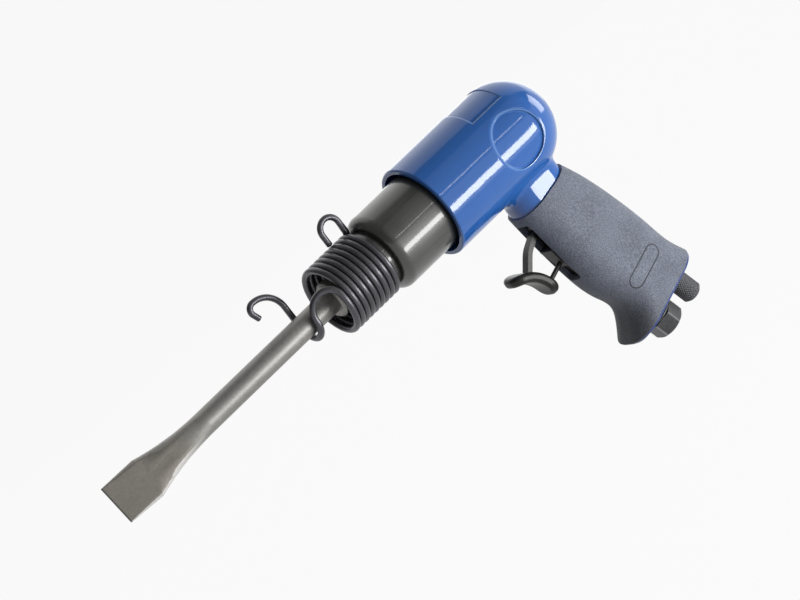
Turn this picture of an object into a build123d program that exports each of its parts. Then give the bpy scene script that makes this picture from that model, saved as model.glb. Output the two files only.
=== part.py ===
from build123d import *
import math
import os

os.makedirs("parts", exist_ok=True)

# Pistol-grip air hammer with a flat chisel, in millimetres.
# X runs forward out of the barrel, Y to the left, Z up. The origin is the centre of the muzzle.

# Fits shared by all pieces
press_gap = 0.02
run_gap = 0.05
soft_gap = 0.15
play = 0.3

# Chisel
shank_d = 10.2
shank_gap = 0.06
shank_len = 31.5
collar_d = 18.4
collar_len = 7.0
collar_stand = 5.0
collar_chamfer = 1.2
shaft_d = 11.2
blade_tip_x = 149.4
blade_w = 19.4
blade_wide = 20.4
blade_mid = 13.5
blade_lift = 0.8
blade_straight = 18.8
blade_neck = 36.0
blade_edge_t = 1.2
blade_flat = 40.0
blade_roll = -12.0
chisel_back = 2.5

# Barrel and piston
bore_d = 19.05
piston_gap = 0.04
piston_len = 24.0
piston_face_d = 15.0
piston_face_len = 2.5
piston_hollow_d = 9.0
piston_hollow = 6.0
piston_rest_gap = 0.5
stroke = 41.0
strike_gap = 0.5
barrel_d = 39.5
barrel_show = 31.6
shoulder_land = 0.5
nose_len = 18.4
nose_chamfer = 1.2
socket_len = 23.0
thread_step = 1.55
exhaust_d = 4.5
exhaust_count = 4
exhaust_back = 9.0
channel_d = 3.2
channel_count = 2
channel_wall = 0.7
channel_lead = 6.0

# Retainer spring
wire_d = 2.75
wire_sides = 8
coil_gap = 0.53
coil_d = 34.6
coil_set = 2.4
coil_start_angle = 20.0
coil_turns = 8.73
coil_steps = 18
loop_r = 5.1
loop_bend = 4.0
loop_rise = 12.4
loop_lift = 3.3
wrap_reach = 14.6
wrap_gap = 0.9
wrap_lead = 0.9
hook_rise = 10.5
hook_r = 11.4
hook_tip_r = 3.1
hook_turn = 112.0
hook_end = 3.4

# Housing
body_len = 56.2
shroud_wall = 2.25
shroud_gap = 2.15
rim_round = 0.9
shroud_depth = 22.0
recess_deep = 1.0
label_deep = 0.4
label_front = 38.8
label_len = 19.2
label_angle = 82.0
badge_back = 49.1
badge_r = 13.2

# Valve
valve_step = 1.9
seat_t = 5.0
cover_t = 7.5
gasket_t = 1.0
gasket_step = 2.0
gasket_rim = 0.4
disc_d = 16.4
disc_t = 1.2
disc_lift = 0.7
disc_gap = 0.05
disc_side = 0.3
feed_d = 8.0
supply_d = 3.5
supply_count = 4
supply_wall = 0.45
dowel_d = 2.5
dowel_count = 2
dowel_len = 8.0
dowel_wall = 3.25
chamber_step = 7.0
chamber_len = 7.0

# Handle and grip, measured down the raked handle from the barrel's axis
rake = 17.0
handle_back = 39.0
neck_rise = 20.0
neck_step = 1.2
neck_fillet = 4.0
rubber_t = 3.0
top_drop = 31.8
top_tilt = 6.5
top_front = 13.8
top_back = 20.2
top_half = 14.1
thumb_drop = 47.0
thumb_front = 16.3
thumb_back = 22.0
thumb_half = 14.6
palm_drop = 66.0
palm_front = 18.5
palm_back = 22.9
palm_half = 15.0
waist_drop = 86.0
waist_front = 18.3
waist_back = 22.4
waist_half = 15.3
ankle_drop = 99.0
ankle_front = 18.5
ankle_back = 21.9
ankle_half = 15.5
foot_drop = 108.6
foot_front = 28.8
foot_back = 23.4
foot_half = 15.7
grip_corner = 13.0
flange_t = 1.2
flange_step = 0.3
flange_round = 0.5
slot_w = 11.0
slot_top = 34.4
slot_foot = 70.5
slot_deep = 9.0
slot_round = 2.5

# Trigger
pivot_drop = 40.2
pivot_fore = 8.6
pin_d = 3.0
pin_len = 15.6
boss_r = 3.6
neck_w = 5.0
neck_t = 2.3
knee_fore = 22.0
knee_drop = 42.9
knee_r = 14.0
pad_w = 14.4
pad_t = 4.9
pad_back_r = 19.0
pad_stand = 27.0
pad_drop = 58.0
pad_low = 20.0
pad_high = 71.0
pad_neck = 33.0
pad_round = 6.0
pad_edge = 2.0
pocket_side = 0.4
pocket_gap = 0.5

# Throttle
throttle_drop = 59.6
block_top = 9.0
block_nose = 2.4
block_low = 9.8
block_base = 12.0
block_face = 17.0
block_step = 15.0
block_w = 9.0
block_gap = 0.1
tail_d = 10.0
tail_end = 4.0
tail_hollow_d = 6.0
tail_hollow = 5.0
tail_port_d = 3.4
stem_d = 2.3
stem_round = 0.8
head_d = 7.4
head_t = 2.4
seal_t = 1.6
seal_wall = 1.7
seal_gap = 0.05
throttle_chamber_d = 9.6
throttle_chamber = 17.0
spring_d = 6.4
spring_wire = 0.8
spring_sides = 6
spring_halves = 8
spring_gap = 0.1
slant_d = 5.0
slant_fore = 6.0

# Air inlet and regulator at the foot
inlet_fore = 8.2
hex_flats = 15.0
hex_len = 8.4
hex_chamfer = 1.2
hex_slope = 2.0
inlet_collar_d = 14.2
inlet_collar = 3.4
hex_turn = 27.0
washer_d = 16.4
washer_t = 1.8
inlet_shank_d = 13.0
inlet_shank = 7.0
inlet_thread_d = 11.44
inlet_thread = 9.0
inlet_hole_d = 8.6
inlet_pass_d = 7.5
inlet_rise = 28.0
screen_rim_d = 10.2
screen_rim_t = 0.6
screen_len = 8.0
screen_wall = 0.7
regulator_aft = 10.6
knob_d = 10.6
knob_len = 16.6
knob_chamfer = 1.5
knob_gap = 0.3
stem_od = 8.0
stem_top = 78.0
groove_drop = 98.0
groove_d = 5.0
ring_drop = 103.0
ring_t = 1.8
ring_id = 5.4
cross_pin_d = 2.0
cross_pin_gap = 0.1
cross_pin_len = 20.0
port_d = 4.5
stem_port_d = 3.4
port_drop = 84.0
stem_hole_d = 4.6
regulator_rise_d = 6.5

# Sizes across the barrel's axis
coil_r = (coil_d - wire_d) / 2
pitch = wire_d + coil_gap
nose_d = coil_d - 2 * wire_d - 2 * play
shoulder_r = (barrel_d - nose_d) / 2 - shoulder_land
thread_d = barrel_d - 2 * thread_step
shroud_bore = barrel_d + 2 * shroud_gap
body_d = shroud_bore + 2 * shroud_wall
body_r = body_d / 2
valve_d = thread_d - 2 * valve_step
channel_ring = valve_d / 2 - channel_wall - channel_d / 2
dowel_ring = valve_d / 2 - dowel_wall - dowel_d / 2
supply_ring = disc_d / 2 - supply_wall - supply_d / 2
chamber_d = valve_d - 2 * chamber_step
gasket_bore = chamber_d + 2 * gasket_step

# Places along the barrel's axis
shoulder_x = -nose_len
rim_x = shoulder_x - barrel_show
seat_x = rim_x - shroud_depth
shank_end_x = collar_stand - shank_len
bore_front_x = -socket_len
piston_x = shank_end_x - chisel_back - strike_gap - stroke - piston_len
barrel_end_x = piston_x - piston_rest_gap
valve_split_x = barrel_end_x - seat_t
gasket_x = valve_split_x - cover_t
pocket_end_x = gasket_x - gasket_t
chamber_end_x = pocket_end_x - chamber_len
dome_x = rim_x - body_len
collar_x = collar_stand + collar_len
coil_x = shoulder_x + coil_set

# Places along the throttle's axis and at the foot
seal_fore = tail_end - seal_gap
head_fore = seal_fore - seal_t
head_back = head_fore - head_t
chamber_back = tail_end - throttle_chamber
foot_end = foot_drop + flange_t
neck_top = foot_end + washer_t
hex_top = neck_top + inlet_collar
mouth_drop = hex_top + hex_len
cross_pin_aft = regulator_aft + groove_d / 2 + cross_pin_gap + cross_pin_d / 2

# The handle's own directions: down the handle, and forward across it
handle_x = rim_x - handle_back
rake_sin = math.sin(math.radians(rake))
rake_cos = math.cos(math.radians(rake))
down = Vector(-rake_sin, 0, -rake_cos)
fore = Vector(rake_cos, 0, -rake_sin)
seam_tilt = math.radians(top_tilt)
seam_fore = fore * math.cos(seam_tilt) - down * math.sin(seam_tilt)
seam_down = down * math.cos(seam_tilt) + fore * math.sin(seam_tilt)
seam_plane = Plane(origin=Vector(handle_x, 0, 0) + down * top_drop, x_dir=seam_fore, z_dir=seam_down)
side_plane = Plane(origin=(handle_x, 0, 0), x_dir=fore, z_dir=(0, -1, 0))
coil_plane = Plane(origin=(coil_x, 0, 0), x_dir=(0, 0, 1), z_dir=(1, 0, 0))


def handle_point(drop, ahead):
    """Point in the middle plane, `drop` down the handle and `ahead` of its centre line."""
    return Vector(handle_x, 0, 0) + down * drop + fore * ahead


def across(drop, ahead=0):
    """Plane square to the handle, whose normal points down it."""
    return Plane(origin=handle_point(drop, ahead), x_dir=fore, z_dir=down)


def inward(drop, ahead):
    """Plane square to the throttle's axis, whose normal points back into the handle."""
    return Plane(origin=handle_point(drop, ahead), x_dir=(0, 1, 0), z_dir=-fore)


def forward(place):
    """Plane square to the barrel's axis, whose normal points out of the muzzle."""
    return Plane(origin=(place, 0, 0), x_dir=(0, 1, 0), z_dir=(1, 0, 0))


def grip_face(plane, front, back, half, inset):
    """Rounded oblong across the handle, drawn `inset` inside the grip's skin."""
    with BuildSketch(plane) as face:
        with Locations(((front - back) / 2, 0)):
            RectangleRounded(front + back - 2 * inset, 2 * half - 2 * inset, grip_corner - inset)
    return face.sketch


def grip_form(inset):
    """The grip's swelling form, from its slanted top edge to its flared foot."""
    with BuildPart() as form:
        add(grip_face(seam_plane, top_front, top_back, top_half, inset))
        add(grip_face(across(thumb_drop), thumb_front, thumb_back, thumb_half, inset))
        add(grip_face(across(palm_drop), palm_front, palm_back, palm_half, inset))
        add(grip_face(across(waist_drop), waist_front, waist_back, waist_half, inset))
        add(grip_face(across(ankle_drop), ankle_front, ankle_back, ankle_half, inset))
        add(grip_face(across(foot_drop), foot_front, foot_back, foot_half, inset))
        loft()
    return form.part


def body_form(shrink):
    """The housing's round body with its domed rear, `shrink` inside its skin."""
    skin_r = body_r - shrink
    with BuildPart() as form:
        with BuildSketch(Plane.XZ):
            with BuildLine():
                Polyline((dome_x, 0), (rim_x, 0), (rim_x, skin_r), (dome_x, skin_r))
                RadiusArc((dome_x, skin_r), (dome_x - skin_r, 0), -skin_r)
                Line((dome_x - skin_r, 0), (dome_x, 0))
            make_face()
        revolve(axis=Axis.X)
    return form.part


def blade_plane(place):
    """Plane square to the chisel, turned with the rolled blade."""
    roll = math.radians(blade_roll)
    return Plane(origin=(place, 0, 0), x_dir=(0, math.sin(roll), math.cos(roll)), z_dir=(1, 0, 0))


def blade_face(place, width, thick, lift):
    """Section of the chisel's blade: flat on both faces, round along its edges, raised by `lift`."""
    with BuildSketch(blade_plane(place)) as face:
        with Locations((lift, 0)):
            SlotOverall(width, thick)
    return face.sketch


def shaft_face(place):
    """Round section of the chisel's shaft, parted where the blade's flats and edges begin."""
    flat = blade_flat / 2
    with BuildSketch(blade_plane(place)) as face:
        with BuildLine():
            CenterArc((0, 0), shaft_d / 2, 90 - flat, blade_flat)
            CenterArc((0, 0), shaft_d / 2, 90 + flat, 180 - blade_flat)
            CenterArc((0, 0), shaft_d / 2, 270 - flat, blade_flat)
            CenterArc((0, 0), shaft_d / 2, 270 + flat, 180 - blade_flat)
        make_face()
    return face.sketch


def coil_stop(plane, radius, rise, angle, start):
    """Point and direction on a coil about the plane's normal, which climbs `rise` in each turn."""
    turn = math.radians(angle)
    out = plane.x_dir * math.cos(turn) + plane.y_dir * math.sin(turn)
    round_it = plane.y_dir * math.cos(turn) - plane.x_dir * math.sin(turn)
    place = plane.origin + out * radius + plane.z_dir * (rise * (angle - start) / 360)
    heading = round_it * (2 * math.pi * radius) + plane.z_dir * rise
    return place, heading.normalized()


def biarc(start, heading, end, leaving):
    """Where two tangent arcs between two points meet, and their common direction there."""
    chord = end - start
    along = chord.dot(heading + leaving)
    turn = 2 * (1 - heading.dot(leaving))
    arm = (math.sqrt(along**2 + turn * chord.dot(chord)) - along) / turn
    first = start + heading * arm
    second = end - leaving * arm
    return (first + second) / 2, (second - first).normalized()


def wire_path(stops):
    """Tangent arcs through the stops; two stops with one direction are joined by a straight run."""
    same_way = math.cos(math.radians(1))
    with BuildLine() as path:
        for (start, heading), (end, leaving) in zip(stops, stops[1:]):
            if heading.dot(leaving) > same_way:
                Line(start, end)
            else:
                joint, through = biarc(start, heading, end, leaving)
                TangentArc(start, joint, tangent=heading)
                TangentArc(joint, end, tangent=through)
    return path.wire()


def least_gap(path, wire):
    """Least gap of a wire to itself, on points half a wire apart, past its own bend."""
    count = int(path.length / (wire / 2))
    points = [path.position_at(index / count) for index in range(count + 1)]
    skip = math.ceil(math.pi * 2)
    return min(
        (points[a] - points[b]).length
        for a in range(count + 1)
        for b in range(a + skip, count + 1)
    ) - wire


outer_grip = grip_form(0)
inner_grip = grip_form(rubber_t)
core_form = grip_form(rubber_t + soft_gap)
body_skin = body_form(0)
body_floor = body_form(recess_deep)

# Round recesses on both sides of the body, whose floors follow its skin
with BuildPart() as badge_cut:
    with BuildSketch(Plane.XZ):
        with Locations((rim_x - badge_back, 0)):
            Circle(badge_r)
    extrude(amount=body_d, both=True)
    add(body_floor, mode=Mode.SUBTRACT)

# Housing: barrel shroud, dome, neck, handle core and foot flange in one casting
with BuildPart() as housing:
    add(body_skin)
    add(grip_face(seam_plane, top_front, top_back, top_half, neck_step))
    extrude(amount=neck_rise, both=True)
    fillet(housing.edges().filter_by(GeomType.BSPLINE), neck_fillet)
    split(bisect_by=seam_plane, keep=Keep.BOTTOM)
    add(core_form)
    add(grip_face(across(foot_drop), foot_front, foot_back, foot_half, flange_step))
    extrude(amount=flange_t, dir=down)
    foot_face = housing.faces().sort_by(Axis(handle_point(0, 0), down))[-1]
    fillet(foot_face.outer_wire().edges(), flange_round)
    fillet(housing.faces().sort_by(Axis.X)[-1].outer_wire().edges(), rim_round)
    # Shallow label field on top
    half_label = math.radians(label_angle / 2)
    label_way = (0, -math.cos(half_label), math.sin(half_label))
    with BuildSketch(Plane(origin=(0, 0, 0), x_dir=(1, 0, 0), z_dir=label_way)):
        with Locations((rim_x - label_front - label_len / 2, body_r)):
            Rectangle(label_len, 2 * label_deep)
    revolve(axis=Axis.X, revolution_arc=label_angle, mode=Mode.SUBTRACT)
    add(badge_cut.part, mode=Mode.SUBTRACT)
    # Shroud bore, barrel thread, valve pocket and air chamber
    with BuildSketch(Plane.XZ):
        with BuildLine():
            Polyline(
                (rim_x + rim_round, 0),
                (rim_x + rim_round, shroud_bore / 2),
                (seat_x, shroud_bore / 2),
                (seat_x, thread_d / 2 + press_gap),
                (barrel_end_x, thread_d / 2 + press_gap),
                (barrel_end_x, valve_d / 2 + press_gap),
                (pocket_end_x, valve_d / 2 + press_gap),
                (pocket_end_x, chamber_d / 2),
                (chamber_end_x, chamber_d / 2),
                (chamber_end_x, 0),
                close=True,
            )
        make_face()
    revolve(axis=Axis.X, mode=Mode.SUBTRACT)
    # Air way up from the inlet, across to the regulator and up to the throttle
    with BuildSketch(across(foot_end, inlet_fore)):
        Circle(inlet_shank_d / 2 + press_gap)
    extrude(amount=-inlet_shank, mode=Mode.SUBTRACT)
    with BuildSketch(across(foot_end, inlet_fore)):
        Circle(inlet_pass_d / 2)
    extrude(amount=-inlet_rise, mode=Mode.SUBTRACT)
    with BuildSketch(inward(port_drop, inlet_fore)):
        Circle(port_d / 2)
    extrude(amount=inlet_fore + regulator_aft, mode=Mode.SUBTRACT)
    with BuildSketch(across(foot_end, -regulator_aft)):
        Circle(stem_od / 2 + run_gap)
    extrude(amount=stem_top - play - foot_end, mode=Mode.SUBTRACT)
    with BuildSketch(across(stem_top, -regulator_aft)):
        Circle(regulator_rise_d / 2)
    extrude(amount=throttle_drop - stem_top, mode=Mode.SUBTRACT)
    # Throttle bore and chamber, and the slanted way up to the valve
    with BuildSketch(inward(throttle_drop, block_base)):
        Circle(tail_d / 2 + press_gap)
    extrude(amount=block_base - tail_end, mode=Mode.SUBTRACT)
    with BuildSketch(inward(throttle_drop, tail_end)):
        Circle(throttle_chamber_d / 2)
    extrude(amount=throttle_chamber, mode=Mode.SUBTRACT)
    slant_from = handle_point(throttle_drop, slant_fore)
    slant_to = Vector((pocket_end_x + chamber_end_x) / 2, 0, -chamber_d / 4)
    with BuildSketch(Plane(origin=slant_from, z_dir=slant_to - slant_from)):
        Circle(slant_d / 2)
    extrude(amount=(slant_to - slant_from).length, mode=Mode.SUBTRACT)
    # Pockets for the trigger's boss and the throttle block, and the pin holes
    with BuildSketch(side_plane):
        with BuildLine():
            Polyline(
                (pivot_fore - boss_r - pocket_gap, -(pivot_drop - boss_r - pocket_gap)),
                (pad_stand, -(pivot_drop - boss_r - pocket_gap)),
                (pad_stand, -(throttle_drop - block_top)),
                (pivot_fore - boss_r - pocket_gap, -(throttle_drop - block_top)),
                close=True,
            )
        make_face()
    extrude(amount=neck_w / 2 + pocket_side, both=True, mode=Mode.SUBTRACT)
    with BuildSketch(side_plane):
        with BuildLine():
            Polyline(
                (block_base, -(throttle_drop - block_top - block_gap)),
                (pad_stand, -(throttle_drop - block_top - block_gap)),
                (pad_stand, -(throttle_drop + block_low + block_gap)),
                (block_base, -(throttle_drop + block_low + block_gap)),
                close=True,
            )
        make_face()
    extrude(amount=block_w / 2 + block_gap, both=True, mode=Mode.SUBTRACT)
    with BuildSketch(side_plane):
        with Locations((pivot_fore, -pivot_drop)):
            Circle(pin_d / 2 + press_gap)
    extrude(amount=foot_half, both=True, mode=Mode.SUBTRACT)
    with BuildSketch(side_plane):
        with Locations((-cross_pin_aft, -groove_drop)):
            Circle(cross_pin_d / 2 + press_gap)
    extrude(amount=foot_half, both=True, mode=Mode.SUBTRACT)
housing.part.label = "housing"
export_step(housing.part, "parts/housing.step")

# Rubber sleeve on the handle, open in front for the trigger
with BuildPart() as grip_sleeve:
    add(outer_grip)
    add(inner_grip, mode=Mode.SUBTRACT)
    with BuildSketch(inward((slot_top + slot_foot) / 2, palm_front + slot_deep)):
        RectangleRounded(slot_w, slot_foot - slot_top, slot_round)
    extrude(amount=2 * slot_deep, mode=Mode.SUBTRACT)
grip_sleeve.part.label = "grip_sleeve"
export_step(grip_sleeve.part, "parts/grip_sleeve.step")

# Barrel: nose for the spring, thick body, threaded tail, bore, socket and air ways
with BuildPart() as barrel:
    with BuildSketch(Plane.XZ):
        with BuildLine():
            Polyline(
                (0, shank_d / 2 + shank_gap),
                (0, nose_d / 2),
                (shoulder_x, nose_d / 2),
                (shoulder_x, barrel_d / 2),
                (seat_x, barrel_d / 2),
                (seat_x, thread_d / 2),
                (barrel_end_x, thread_d / 2),
                (barrel_end_x, bore_d / 2),
                (bore_front_x, bore_d / 2),
                (bore_front_x, shank_d / 2 + shank_gap),
                close=True,
            )
        make_face()
    revolve(axis=Axis.X)
    fillet(barrel.edges().sort_by_distance((shoulder_x, 0, barrel_d / 2))[0], shoulder_r)
    chamfer(barrel.edges().sort_by_distance((0, 0, nose_d / 2))[0], nose_chamfer)
    for port in range(exhaust_count):
        lean = math.radians((port + 1 / 2) * 360 / exhaust_count)
        radial = (0, math.cos(lean), math.sin(lean))
        with BuildSketch(Plane(origin=(rim_x - exhaust_back, 0, 0), x_dir=(1, 0, 0), z_dir=radial)):
            Circle(exhaust_d / 2)
        extrude(amount=barrel_d, mode=Mode.SUBTRACT)
    with BuildSketch(forward(barrel_end_x)):
        with PolarLocations(channel_ring, channel_count):
            Circle(channel_d / 2)
    extrude(amount=bore_front_x - channel_lead - barrel_end_x, mode=Mode.SUBTRACT)
    with BuildSketch(Plane.XZ):
        with Locations((bore_front_x - channel_lead - channel_d / 2, 0)):
            Circle(channel_d / 2)
    extrude(amount=channel_ring, both=True, mode=Mode.SUBTRACT)
barrel.part.label = "barrel"
export_step(barrel.part, "parts/barrel.step")

# Free hammer piston, at the rear of its stroke
with BuildPart() as piston:
    with BuildSketch(Plane.XZ):
        with BuildLine():
            Polyline(
                (piston_x + piston_hollow, 0),
                (piston_x + piston_len, 0),
                (piston_x + piston_len, piston_face_d / 2),
                (piston_x + piston_len - piston_face_len, bore_d / 2 - piston_gap),
                (piston_x, bore_d / 2 - piston_gap),
                (piston_x, piston_hollow_d / 2),
                (piston_x + piston_hollow, piston_hollow_d / 2),
                close=True,
            )
        make_face()
    revolve(axis=Axis.X)
piston.part.label = "piston"
export_step(piston.part, "parts/piston.step")

# Front half of the cycle valve, with the loose plate's recess
with BuildPart() as valve_seat:
    with BuildSketch(forward(valve_split_x)):
        Circle(valve_d / 2)
        Circle(feed_d / 2, mode=Mode.SUBTRACT)
        with PolarLocations(channel_ring, channel_count):
            Circle(channel_d / 2, mode=Mode.SUBTRACT)
    extrude(amount=seat_t)
    with BuildSketch(forward(valve_split_x)):
        Circle(disc_d / 2 + disc_side)
    extrude(amount=disc_t + disc_lift + 2 * disc_gap, mode=Mode.SUBTRACT)
    with BuildSketch(forward(valve_split_x)):
        with PolarLocations(dowel_ring, dowel_count, start_angle=90):
            Circle(dowel_d / 2 + press_gap)
    extrude(amount=dowel_len / 2, mode=Mode.SUBTRACT)
valve_seat.part.label = "valve_seat"
export_step(valve_seat.part, "parts/valve_seat.step")

# Loose valve plate
with BuildPart() as valve_disc:
    with BuildSketch(forward(valve_split_x + disc_gap)):
        Circle(disc_d / 2)
    extrude(amount=disc_t)
valve_disc.part.label = "valve_disc"
export_step(valve_disc.part, "parts/valve_disc.step")

# Rear half of the cycle valve, with the supply holes
with BuildPart() as valve_cover:
    with BuildSketch(forward(gasket_x)):
        Circle(valve_d / 2)
        with PolarLocations(supply_ring, supply_count):
            Circle(supply_d / 2, mode=Mode.SUBTRACT)
    extrude(amount=cover_t)
    with BuildSketch(forward(valve_split_x)):
        with PolarLocations(dowel_ring, dowel_count, start_angle=90):
            Circle(dowel_d / 2 + press_gap)
    extrude(amount=-dowel_len / 2, mode=Mode.SUBTRACT)
valve_cover.part.label = "valve_cover"
export_step(valve_cover.part, "parts/valve_cover.step")

# Two dowels through the valve's split
with BuildPart() as valve_pins:
    with BuildSketch(forward(valve_split_x)):
        with PolarLocations(dowel_ring, dowel_count, start_angle=90):
            Circle(dowel_d / 2)
    extrude(amount=dowel_len / 2, both=True)
valve_pins.part.label = "valve_pins"
export_step(valve_pins.part, "parts/valve_pins.step")

# Gasket between the valve and the pocket's end wall
with BuildPart() as valve_gasket:
    with BuildSketch(forward(pocket_end_x)):
        Circle(valve_d / 2 - gasket_rim)
        Circle(gasket_bore / 2, mode=Mode.SUBTRACT)
    extrude(amount=gasket_t)
valve_gasket.part.label = "valve_gasket"
export_step(valve_gasket.part, "parts/valve_gasket.step")

# Chisel: shank, collar, round shaft and forged blade
with BuildPart() as chisel:
    neck_end_x = blade_tip_x - blade_straight
    neck_start_x = neck_end_x - blade_neck
    taper = (shaft_d - blade_edge_t) / (blade_tip_x - neck_start_x)
    with BuildSketch(Plane.XZ):
        with BuildLine():
            Polyline(
                (shank_end_x, 0),
                (neck_start_x, 0),
                (neck_start_x, shaft_d / 2),
                (collar_x, shaft_d / 2),
                (collar_x, collar_d / 2),
                (collar_stand, collar_d / 2),
                (collar_stand, shank_d / 2),
                (shank_end_x, shank_d / 2),
                close=True,
            )
        make_face()
    revolve(axis=Axis.X)
    chamfer(chisel.edges().sort_by_distance((collar_x, 0, collar_d / 2))[0], collar_chamfer)
    chamfer(chisel.edges().sort_by_distance((shank_end_x, 0, shank_d / 2))[0], collar_chamfer)
    add(shaft_face(neck_start_x))
    add(
        blade_face(
            neck_start_x + blade_neck / 2,
            blade_mid,
            shaft_d - taper * blade_neck / 2,
            0,
        )
    )
    add(blade_face(neck_end_x, blade_wide, shaft_d - taper * blade_neck, 0))
    loft()
    add(blade_face(neck_end_x, blade_wide, shaft_d - taper * blade_neck, 0))
    add(blade_face(blade_tip_x, blade_w, blade_edge_t, blade_lift))
    loft(ruled=True)
chisel.part.label = "chisel"
export_step(chisel.part, "parts/chisel.step")

# Retainer spring: finger loop, coil on the nose, wrap round the chisel's shaft, and open hook
up = Vector(0, 0, 1)
ahead = Vector(1, 0, 0)
right = Vector(0, -1, 0)
coil_step = 360 * coil_turns / coil_steps
coil_angles = [coil_start_angle + coil_step * n for n in range(coil_steps + 1)]
coil = [coil_stop(coil_plane, coil_r, pitch, angle, coil_start_angle) for angle in coil_angles]
coil_in, coil_out = coil[0][0], coil[-1][0]
bend_tilt = math.radians(coil_start_angle)
loop_y = coil_in.Y + loop_bend * (1 - math.sin(bend_tilt))
loop_z = coil_in.Z + loop_bend * math.cos(bend_tilt)
loop_foot = coil_r + loop_lift
loop_mid_z = coil_r + loop_rise - loop_r
wrap_r = shaft_d / 2 + wire_d / 2 + wrap_gap
wrap_x = coil_out.X + wrap_reach
tip_turn = math.radians(hook_turn)
hook_top = Vector(wrap_x + hook_r, -wrap_r, hook_rise + hook_r)
hook_way = ahead * math.cos(tip_turn) - up * math.sin(tip_turn)
hook_out = hook_tip_r * math.sin(tip_turn)
hook_drop = hook_tip_r * (1 - math.cos(tip_turn))
hook_tip = hook_top + ahead * hook_out - up * hook_drop
spring_path = wire_path(
    [
        (Vector(coil_in.X + 2 * loop_r, loop_y, loop_foot), up),
        (Vector(coil_in.X + 2 * loop_r, loop_y, loop_mid_z), up),
        (Vector(coil_in.X, loop_y, loop_mid_z), -up),
        (Vector(coil_in.X, loop_y, loop_z), -up),
    ]
    + coil
    + [
        (Vector(wrap_x - wrap_lead, wrap_r, 0), -up),
        (Vector(wrap_x, 0, -wrap_r), right),
        (Vector(wrap_x, -wrap_r, 0), up),
        (Vector(wrap_x, -wrap_r, hook_rise), up),
        (hook_top, ahead),
        (hook_tip, hook_way),
        (hook_tip + hook_way * hook_end, hook_way),
    ]
)
with BuildPart() as retainer_spring:
    with BuildSketch(Plane(origin=(coil_in.X + 2 * loop_r, loop_y, loop_foot), z_dir=up)):
        RegularPolygon(wire_d / 2, wire_sides)
    sweep(path=spring_path)
retainer_spring.part.label = "retainer_spring"
export_step(retainer_spring.part, "parts/retainer_spring.step")
print("retainer spring: least gap to itself", round(least_gap(spring_path, wire_d), 2), "mm")

# Trigger: pivot boss, bent neck and curved finger pad
with BuildPart() as trigger:
    pad_mid_r = pad_back_r - pad_t / 2
    pad_fore = pad_stand + pad_back_r
    pad_sweep = pad_high + pad_low
    with BuildSketch(side_plane):
        with BuildLine():
            back = CenterArc((pad_fore, -pad_drop), pad_back_r, 180 - pad_high, pad_sweep)
            face = CenterArc((pad_fore, -pad_drop), pad_back_r - pad_t, 180 - pad_high, pad_sweep)
            Line(back @ 0, face @ 0)
            Line(back @ 1, face @ 1)
        make_face()
    extrude(amount=pad_w / 2, both=True)
    for lean in (pad_high, -pad_low):
        corner_fore = pad_fore - pad_mid_r * math.cos(math.radians(lean))
        corner_drop = pad_drop - pad_mid_r * math.sin(math.radians(lean))
        corner = handle_point(corner_drop, corner_fore)
        for side in (pad_w / 2, -pad_w / 2):
            fillet(trigger.edges().sort_by_distance((corner.X, side, corner.Z))[0], pad_round)
    fillet(trigger.edges().filter_by(GeomType.LINE, reverse=True), pad_edge)
    root_fore = pad_fore - pad_mid_r * math.cos(math.radians(pad_neck))
    root_drop = pad_drop - pad_mid_r * math.sin(math.radians(pad_neck))
    with BuildSketch(side_plane):
        with BuildLine():
            FilletPolyline(
                (pivot_fore, -pivot_drop),
                (knee_fore, -knee_drop),
                (root_fore, -root_drop),
                radius=knee_r,
            )
        trace(line_width=neck_t)
        with Locations((pivot_fore, -pivot_drop)):
            Circle(boss_r)
    extrude(amount=neck_w / 2, both=True)
    with BuildSketch(side_plane):
        with Locations((pivot_fore, -pivot_drop)):
            Circle(pin_d / 2 + run_gap)
    extrude(amount=neck_w, both=True, mode=Mode.SUBTRACT)
trigger.part.label = "trigger"
export_step(trigger.part, "parts/trigger.step")

# Pivot pin of the trigger, across the handle
with BuildPart() as trigger_pin:
    with BuildSketch(side_plane):
        with Locations((pivot_fore, -pivot_drop)):
            Circle(pin_d / 2)
    extrude(amount=pin_len / 2, both=True)
trigger_pin.part.label = "trigger_pin"
export_step(trigger_pin.part, "parts/trigger_pin.step")

# Throttle bushing: stepped block in the grip's slot with a round tail in the handle
with BuildPart() as throttle_bushing:
    with BuildSketch(side_plane):
        with BuildLine():
            Polyline(
                (block_base, -(throttle_drop - block_top)),
                (block_face, -(throttle_drop - block_top)),
                (block_face, -(throttle_drop + block_nose)),
                (block_step, -(throttle_drop + block_nose)),
                (block_step, -(throttle_drop + block_low)),
                (block_base, -(throttle_drop + block_low)),
                close=True,
            )
        make_face()
    extrude(amount=block_w / 2, both=True)
    with BuildSketch(inward(throttle_drop, block_base)):
        Circle(tail_d / 2)
    extrude(amount=block_base - tail_end)
    with BuildSketch(inward(throttle_drop, block_face)):
        Circle(stem_d / 2 + run_gap)
    extrude(amount=block_face - tail_end, mode=Mode.SUBTRACT)
    with BuildSketch(inward(throttle_drop, tail_end)):
        Circle(tail_hollow_d / 2)
    extrude(amount=-tail_hollow, mode=Mode.SUBTRACT)
    with BuildSketch(across(throttle_drop, slant_fore)):
        Circle(tail_port_d / 2)
    extrude(amount=-tail_d, mode=Mode.SUBTRACT)
throttle_bushing.part.label = "throttle_bushing"
export_step(throttle_bushing.part, "parts/throttle_bushing.step")

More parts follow.
